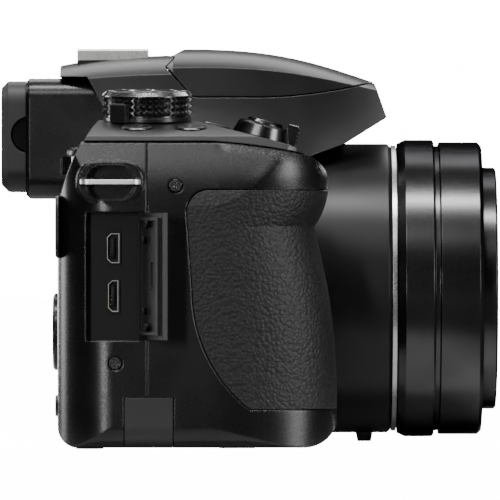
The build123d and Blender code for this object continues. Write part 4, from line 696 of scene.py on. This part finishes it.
def finish_piece(name, mesh, body, slot, finish=None):
    """Turns a bmesh into a piece that rides on a CAD body."""
    bmesh.ops.remove_doubles(mesh, verts=mesh.verts, dist=WELD)
    bmesh.ops.recalc_face_normals(mesh, faces=mesh.faces)
    bmesh.ops.scale(mesh, vec=(MM, MM, MM), verts=mesh.verts)
    data = bpy.data.meshes.new(name)
    mesh.to_mesh(data)
    mesh.free()
    data.materials.append(materials[finish or slot])
    piece = bpy.data.objects.new(name, data)
    bpy.context.scene.collection.objects.link(piece)
    data.shade_smooth()
    data.set_sharp_from_angle(angle=math.radians(SMOOTH_ANGLE))
    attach(piece, body)


# Lens


def make_baffle():
    """The stepped baffle that shows through the front glass."""
    outer, inner = [], []
    for step in range(BAFFLE_STEPS + 1):
        share = step / BAFFLE_STEPS
        radius = BAFFLE_MOUTH + (BAFFLE_THROAT - BAFFLE_MOUTH) * share
        front = -BAFFLE_LENGTH * share
        back = front - BAFFLE_LENGTH / BAFFLE_STEPS
        inner += [(radius, front), (radius, back)]
        outer += [(radius + BAFFLE_WALL, front), (radius + BAFFLE_WALL, back)]
    mesh = bmesh.new()
    add_lathe(mesh, inner + outer[::-1], lens_place(BAFFLE_GAP))
    finish_piece("lens_baffle", mesh, "zoom_front", "inner_plastic")


def make_inner_element():
    """The next lens element, domed at the front and flatter behind."""
    dome = []
    for step in range(ELEMENT_STEPS + 1):
        share = step / ELEMENT_STEPS
        dome.append((ELEMENT_RADIUS * share, ELEMENT_CROWN * (1 - share**2)))
    back = [(radius, -ELEMENT_RIM - height * ELEMENT_BACK_SHARE) for radius, height in reversed(dome)]
    mesh = bmesh.new()
    add_lathe(mesh, dome + back, lens_place(BAFFLE_LENGTH))
    finish_piece("inner_element", mesh, "zoom_front", "lens_glass", "inner_glass")


def make_iris():
    """Iris blades round the opening, every other one a little forward."""
    half = IRIS_OPENING * math.tan(math.pi / IRIS_BLADES)
    blade = (
        (IRIS_OPENING, -half), (BLADE_ROOT, -half - BLADE_SWEEP), (BLADE_TIP, half),
        (IRIS_OPENING, half + BLADE_LAP),
    )
    place = lens_place(BAFFLE_LENGTH + IRIS_GAP)
    mesh = bmesh.new()
    for index in range(IRIS_BLADES):
        lifted = place @ turned(index / IRIS_BLADES) @ shift(0, 0, BLADE_STAGGER * (index % 2))
        add_prism(mesh, blade, BLADE_THICKNESS, lifted)
    finish_piece("iris_blades", mesh, "zoom_front", "screw_steel")


def thread_profile(radius, length, pitch, depth, inner_end, mouth_end):
    """An inner thread's ridges as one closed outline, whose heights run out to the mouth."""
    ridges = int((length - (inner_end + mouth_end)) / pitch)
    start = inner_end - length
    end = start + ridges * pitch
    profile = []
    for ridge in range(ridges):
        low = start + ridge * pitch
        profile.append((radius, low))
        profile += [(radius - depth, low + pitch * share) for share in CREST_SHARES]
    return profile + [(radius, end), (radius + THREAD_ROOT, end), (radius + THREAD_ROOT, start)]


def make_threads():
    """Thread ridges in the filter mount and in the tripod bush."""
    for mount in frame["record"]["mounts"]:
        if mount["name"] not in THREADS:
            continue
        name, body, slot, sizes = THREADS[mount["name"]]
        profile = thread_profile(mount["dims"]["r_mm"], mount["dims"]["length_mm"], *sizes)
        mesh = bmesh.new()
        place = placed([length / MM for length in mount["pos_m"]], mount["axis"])
        add_lathe(mesh, profile, place, THREAD_STEPS)
        finish_piece(name, mesh, body, slot)


# Controls


def make_dial_plate():
    """The plate in the mode dial's dish, with turned grooves and a raised middle."""
    floor = DIAL_TOP - DISH_DEPTH
    edge = DISH_RADIUS - PLATE_GAP
    top, trough = floor + PLATE_THICKNESS, floor + GROOVE_FLOOR
    slope, rise = PLATE_BEVEL
    profile = [(0.0, floor), (edge, floor), (edge, floor + rise), (edge - slope, top)]
    for groove in range(GROOVES):
        outer = edge - GROOVE_MARGIN - groove * GROOVE_PITCH
        inner = outer - GROOVE_WIDTH
        profile += [(outer, top), (outer - GROOVE_SLOPE, trough)]
        profile += [(inner + GROOVE_SLOPE, trough), (inner, top)]
    profile += [(CAP_RADIUS, top), (CAP_RADIUS - CAP_SLOPE, floor + CAP_RIM), (0.0, floor + CAP_CROWN)]
    mesh = bmesh.new()
    add_lathe(mesh, profile, joint_place("mode_dial_turn"))
    finish_piece("dial_plate", mesh, "mode_dial_body", "dial_metal", "button_plastic")


def make_dial_marks():
    """Bars and dots round the mode dial's rim."""
    place = joint_place("mode_dial_turn")
    mesh = bmesh.new()
    for mark in range(DIAL_MARKS):
        spot = place @ turned(mark / DIAL_MARKS) @ shift(DIAL_MARK_RADIUS, 0, DIAL_TOP)
        if mark % DIAL_DOT_EVERY:
            add_block(mesh, DIAL_BAR, spot, DIAL_BAR_ROUNDING)
        else:
            add_lathe(mesh, DIAL_DOT, spot, DIAL_DOT_STEPS)
    finish_piece("dial_marks", mesh, "mode_dial_body", "trim_metal", "mark_white")


def make_button_signs():
    """Plain signs on the back's buttons."""
    signs = {
        "playback_button": [((-0.7, -0.9), (0.9, 0.0), (-0.7, 0.9))],
        "delete_button": [bar(1.6, -0.9, 0.4), bar(2.2, 0.7, 1.0)],
        "display_button": [bar(2.2, -0.7, -0.4), bar(2.2, 0.4, 0.7)],
        "quick_button": [bar(1.8, -0.15, 0.15)],
        "lock_button": [bar(1.4, -0.8, 0.2), bar(0.9, 0.4, 0.7)],
    }
    for node, outlines in signs.items():
        low, high = corners(node)
        mesh = bmesh.new()
        for outline in outlines:
            add_prism(mesh, outline, SIGN_HEIGHT, on_back(high.y, (low + high) / 2))
        finish_piece(node + "_mark", mesh, node + "_body", "trim_metal", "mark_white")


def make_pad_arrows():
    """An arrow on each side of the direction pad."""
    low, high = corners("direction_pad")
    mesh = bmesh.new()
    for quarter in range(4):
        add_prism(mesh, PAD_ARROW, SIGN_HEIGHT, on_back(high.y, (low + high) / 2) @ turned(quarter / 4))
    finish_piece("pad_marks", mesh, "direction_pad_body", "trim_metal", "mark_white")


# Ports and covers


def make_socket_linings():
    """Black insulator with its tongue, and contact strips, inside each plug socket."""
    for node in SOCKETS:
        low, high = corners(node)
        middle = (low + high) / 2
        width, height = high.y - low.y - 2 * SOCKET_SHELL, high.z - low.z - 2 * SOCKET_SHELL
        fill = high.x - low.x - SOCKET_SHELL - LINING_DROP
        outline = bevelled(width, height, LINING_BEVEL)
        mesh = bmesh.new()
        add_prism(mesh, outline, fill, on_grip_side(high.x - SOCKET_SHELL, middle))
        tongue = (fill, TONGUE_THICKNESS, height - 2 * TONGUE_MARGIN)
        add_block(mesh, tongue, shift(low.x + SOCKET_SHELL + fill / 2, middle.y, middle.z), TONGUE_ROUNDING)
        finish_piece(node + "_lining", mesh, "camera", "inner_plastic")
        mesh = bmesh.new()
        for index in range(CONTACTS):
            level = middle.z + (height - 2 * CONTACT_MARGIN) * (index / (CONTACTS - 1) - 1 / 2)
            for side in about(middle.y, TONGUE_THICKNESS / 2):
                add_block(mesh, CONTACT_SIZE, shift(low.x + CONTACT_DEPTH, side, level), CONTACT_ROUNDING)
        finish_piece(node + "_contacts", mesh, "camera", "socket_steel", "contact_gold")


def make_hinge_posts():
    """Hinge posts of the port door on its front edge."""
    place = joint_place("port_door_hinge")
    low, high = corners("port_door")
    slim = HINGE_POST_RADIUS - HINGE_POST_BEVEL
    mesh = bmesh.new()
    for share in HINGE_POST_SHARES:
        middle = low.z + (high.z - low.z) * share - place.translation.z
        foot, head = about(middle, HINGE_POST_LENGTH / 2)
        profile = [(0.0, foot), (slim, foot), (HINGE_POST_RADIUS, foot + HINGE_POST_BEVEL)]
        profile += [(HINGE_POST_RADIUS, head - HINGE_POST_BEVEL), (slim, head), (0.0, head)]
        add_lathe(mesh, profile, place, HINGE_POST_STEPS)
    finish_piece("door_hinge_posts", mesh, "port_door_body", "soft_rubber")


def make_door_fittings():
    """Studs, hooks and the latch's frame on the port door's inner face."""
    hinge = joint_place("port_door_hinge").translation
    inward = Matrix(((0, 0, 1, DOOR_FACE), (1, 0, 0, 0), (0, 1, 0, 0), (0, 0, 0, 1)))
    face = shift(*hinge) @ turned(DOOR_OPEN / 360) @ inward
    mesh = bmesh.new()
    for along, level in STUD_PLACES:
        add_lathe(mesh, STUD, face @ shift(along, level, 0), SMALL_STEPS)
    for along, level in HOOK_PLACES:
        stem = face @ shift(along, level, HOOK_STEM_LEVEL)
        add_block(mesh, HOOK_STEM, stem, HOOK_ROUNDING)
        add_block(mesh, HOOK_LIP, stem @ shift(*HOOK_LIP_SHIFT), HOOK_ROUNDING)
    finish_piece("door_studs", mesh, "port_door_body", "inner_plastic")
    place = face @ shift(*LATCH_PLACE, 0)
    inside = oblong(*(side - 2 * LATCH_RIM for side in LATCH_SIZE), LATCH_ROUNDING - LATCH_RIM)
    mesh = bmesh.new()
    add_frame(mesh, oblong(*LATCH_SIZE, LATCH_ROUNDING), inside, LATCH_HEIGHT, place)
    finish_piece("door_latch_rim", mesh, "port_door_body", "soft_rubber")
    mesh = bmesh.new()
    add_frame(mesh, inside, oblong(*LATCH_SLOT, LATCH_SLOT_ROUNDING), LATCH_BED_HEIGHT, place)
    finish_piece("door_latch_bed", mesh, "port_door_body", "inner_plastic")


def make_socket_bezels():
    """A dark lip round the mouth of each plug socket."""
    for node in SOCKETS:
        low, high = corners(node)
        width, height = high.y - low.y, high.z - low.z
        outer = bevelled(width + 2 * BEZEL_OUTSIDE, height + 2 * BEZEL_OUTSIDE, BEZEL_OUTER_BEVEL)
        inner = bevelled(width - 2 * BEZEL_INSIDE, height - 2 * BEZEL_INSIDE, BEZEL_INNER_BEVEL)
        mesh = bmesh.new()
        add_frame(mesh, outer, inner, BEZEL_HEIGHT, on_grip_side(low.x + BEZEL_SINK, (low + high) / 2))
        finish_piece(node + "_bezel", mesh, "camera", "inner_plastic")


def make_screen():
    """The picture area on the monitor's cover glass."""
    low, high = corners("monitor_glass")
    place = on_back(high.y - SCREEN_SINK, (low + high) / 2)
    mesh = bmesh.new()
    add_prism(mesh, oblong(*SCREEN_SIZE, SCREEN_ROUNDING), SCREEN_HEIGHT, place)
    finish_piece("screen_area", mesh, "camera", "window_glass", "screen_dark")


def make_shoe_contacts():
    """Gilt contacts on the accessory shoe's floor."""
    low, high = corners("shoe_base")
    mesh = bmesh.new()
    for x, share in SHOE_CONTACT_PLACES:
        add_lathe(mesh, SHOE_CONTACT, shift(x, low.y + (high.y - low.y) * share, high.z), SMALL_STEPS)
    finish_piece("shoe_contacts", mesh, "camera", "shoe_steel", "contact_gold")


def make_speaker_cloth():
    """Dark cloth under the speaker holes."""
    mesh = bmesh.new()
    add_lathe(mesh, CLOTH, shift(*CLOTH_PLACE), CLOTH_STEPS)
    finish_piece("speaker_cloth", mesh, "camera", "inner_plastic")


# Studio


def floor_paper():
    """Pale paper, white to the eye; away from the object it throws less light back."""
    material, tree, shader = new_material("floor_paper")
    point = object_point(tree)
    fibre = noise(tree, point, FIBRE_SIZE)
    away = add_node(tree, "ShaderNodeVectorMath", {0: point}, operation="LENGTH").outputs["Value"]
    fall = remap(tree, away, (FLOOR_NEAR, FLOOR_FAR), (FLOOR_PALE, FLOOR_PALE * FLOOR_FALL))
    pale = mixed(tree, "RGBA", fibre, grey(1.0), grey(FIBRE_SHADE))
    tree.links.new(scaled(tree, pale, fall), shader.inputs["Base Color"])
    shader.inputs["Roughness"].default_value = PAPER_ROUGHNESS
    shader.inputs["Specular IOR Level"].default_value = 0.0
    shader.inputs["Emission Color"].default_value = grey(1.0)
    seen = add_node(tree, "ShaderNodeLightPath").outputs["Is Camera Ray"]
    tree.links.new(multiplied(tree, seen, FLOOR_GLOW), shader.inputs["Emission Strength"])
    return material


def make_floor():
    """The pale floor that the camera stands on."""
    level = cad_box[0][2]
    signs = ((-1, -1), (1, -1), (1, 1), (-1, 1))
    data = bpy.data.meshes.new("floor")
    data.from_pydata([(x * FLOOR_REACH, y * FLOOR_REACH, level) for x, y in signs], [], [(0, 1, 2, 3)])
    data.materials.append(floor_paper())
    floor = bpy.data.objects.new("floor", data)
    bpy.context.scene.collection.objects.link(floor)


def make_soft_box(name, bearing, elevation, distance, width, height, power):
    """A rectangular soft light aimed at the object."""
    bearing, elevation = math.radians(bearing), math.radians(elevation)
    level = distance * math.cos(elevation)
    away = Vector((-level * math.cos(bearing), level * math.sin(bearing), distance * math.sin(elevation)))
    data = bpy.data.lights.new(name, "AREA")
    data.shape = "RECTANGLE"
    data.size, data.size_y, data.energy = width, height, power
    lamp = bpy.data.objects.new(name, data)
    lamp.location = Vector(LIT_POINT) + away
    lamp.rotation_euler = (-away).to_track_quat("-Z", "Y").to_euler()
    lamp.visible_camera = False
    bpy.context.scene.collection.objects.link(lamp)


def make_light():
    """White surroundings to the eye, dim ones to the object, and soft boxes."""
    world = bpy.data.worlds.new("studio")
    bpy.context.scene.world = world
    world.use_nodes = True
    tree = world.node_tree
    tree.nodes.clear()
    path = add_node(tree, "ShaderNodeLightPath").outputs["Is Camera Ray"]
    felt, seen = (
        add_node(tree, "ShaderNodeBackground", {"Color": grey(1.0), "Strength": strength}).outputs[0]
        for strength in (FELT_WHITE, SEEN_WHITE)
    )
    surface = add_node(tree, "ShaderNodeMixShader", {0: path, 1: felt, 2: seen}).outputs[0]
    add_node(tree, "ShaderNodeOutputWorld", {"Surface": surface})
    for name, settings in SOFT_BOXES.items():
        make_soft_box(name, *settings)


def make_camera():
    """The photograph's view."""
    data = bpy.data.cameras.new("view")
    data.sensor_width = SENSOR_WIDTH
    data.lens = LENS_LENGTH
    data.clip_start, data.clip_end = CAMERA_CLIP
    camera = bpy.data.objects.new("view", data)
    camera.location = (-CAMERA_DISTANCE, CAMERA_SIDE, CAMERA_HEIGHT)
    camera.rotation_euler = (math.radians(90), 0, math.radians(-90))
    bpy.context.scene.collection.objects.link(camera)
    bpy.context.scene.camera = camera


materials = make_materials()
dress_nodes()
make_baffle()
make_inner_element()
make_iris()
make_threads()
make_dial_plate()
make_dial_marks()
make_socket_linings()
make_hinge_posts()
make_door_fittings()
make_socket_bezels()
make_screen()
make_shoe_contacts()
make_button_signs()
make_pad_arrows()
make_speaker_cloth()
make_floor()
make_light()
make_camera()
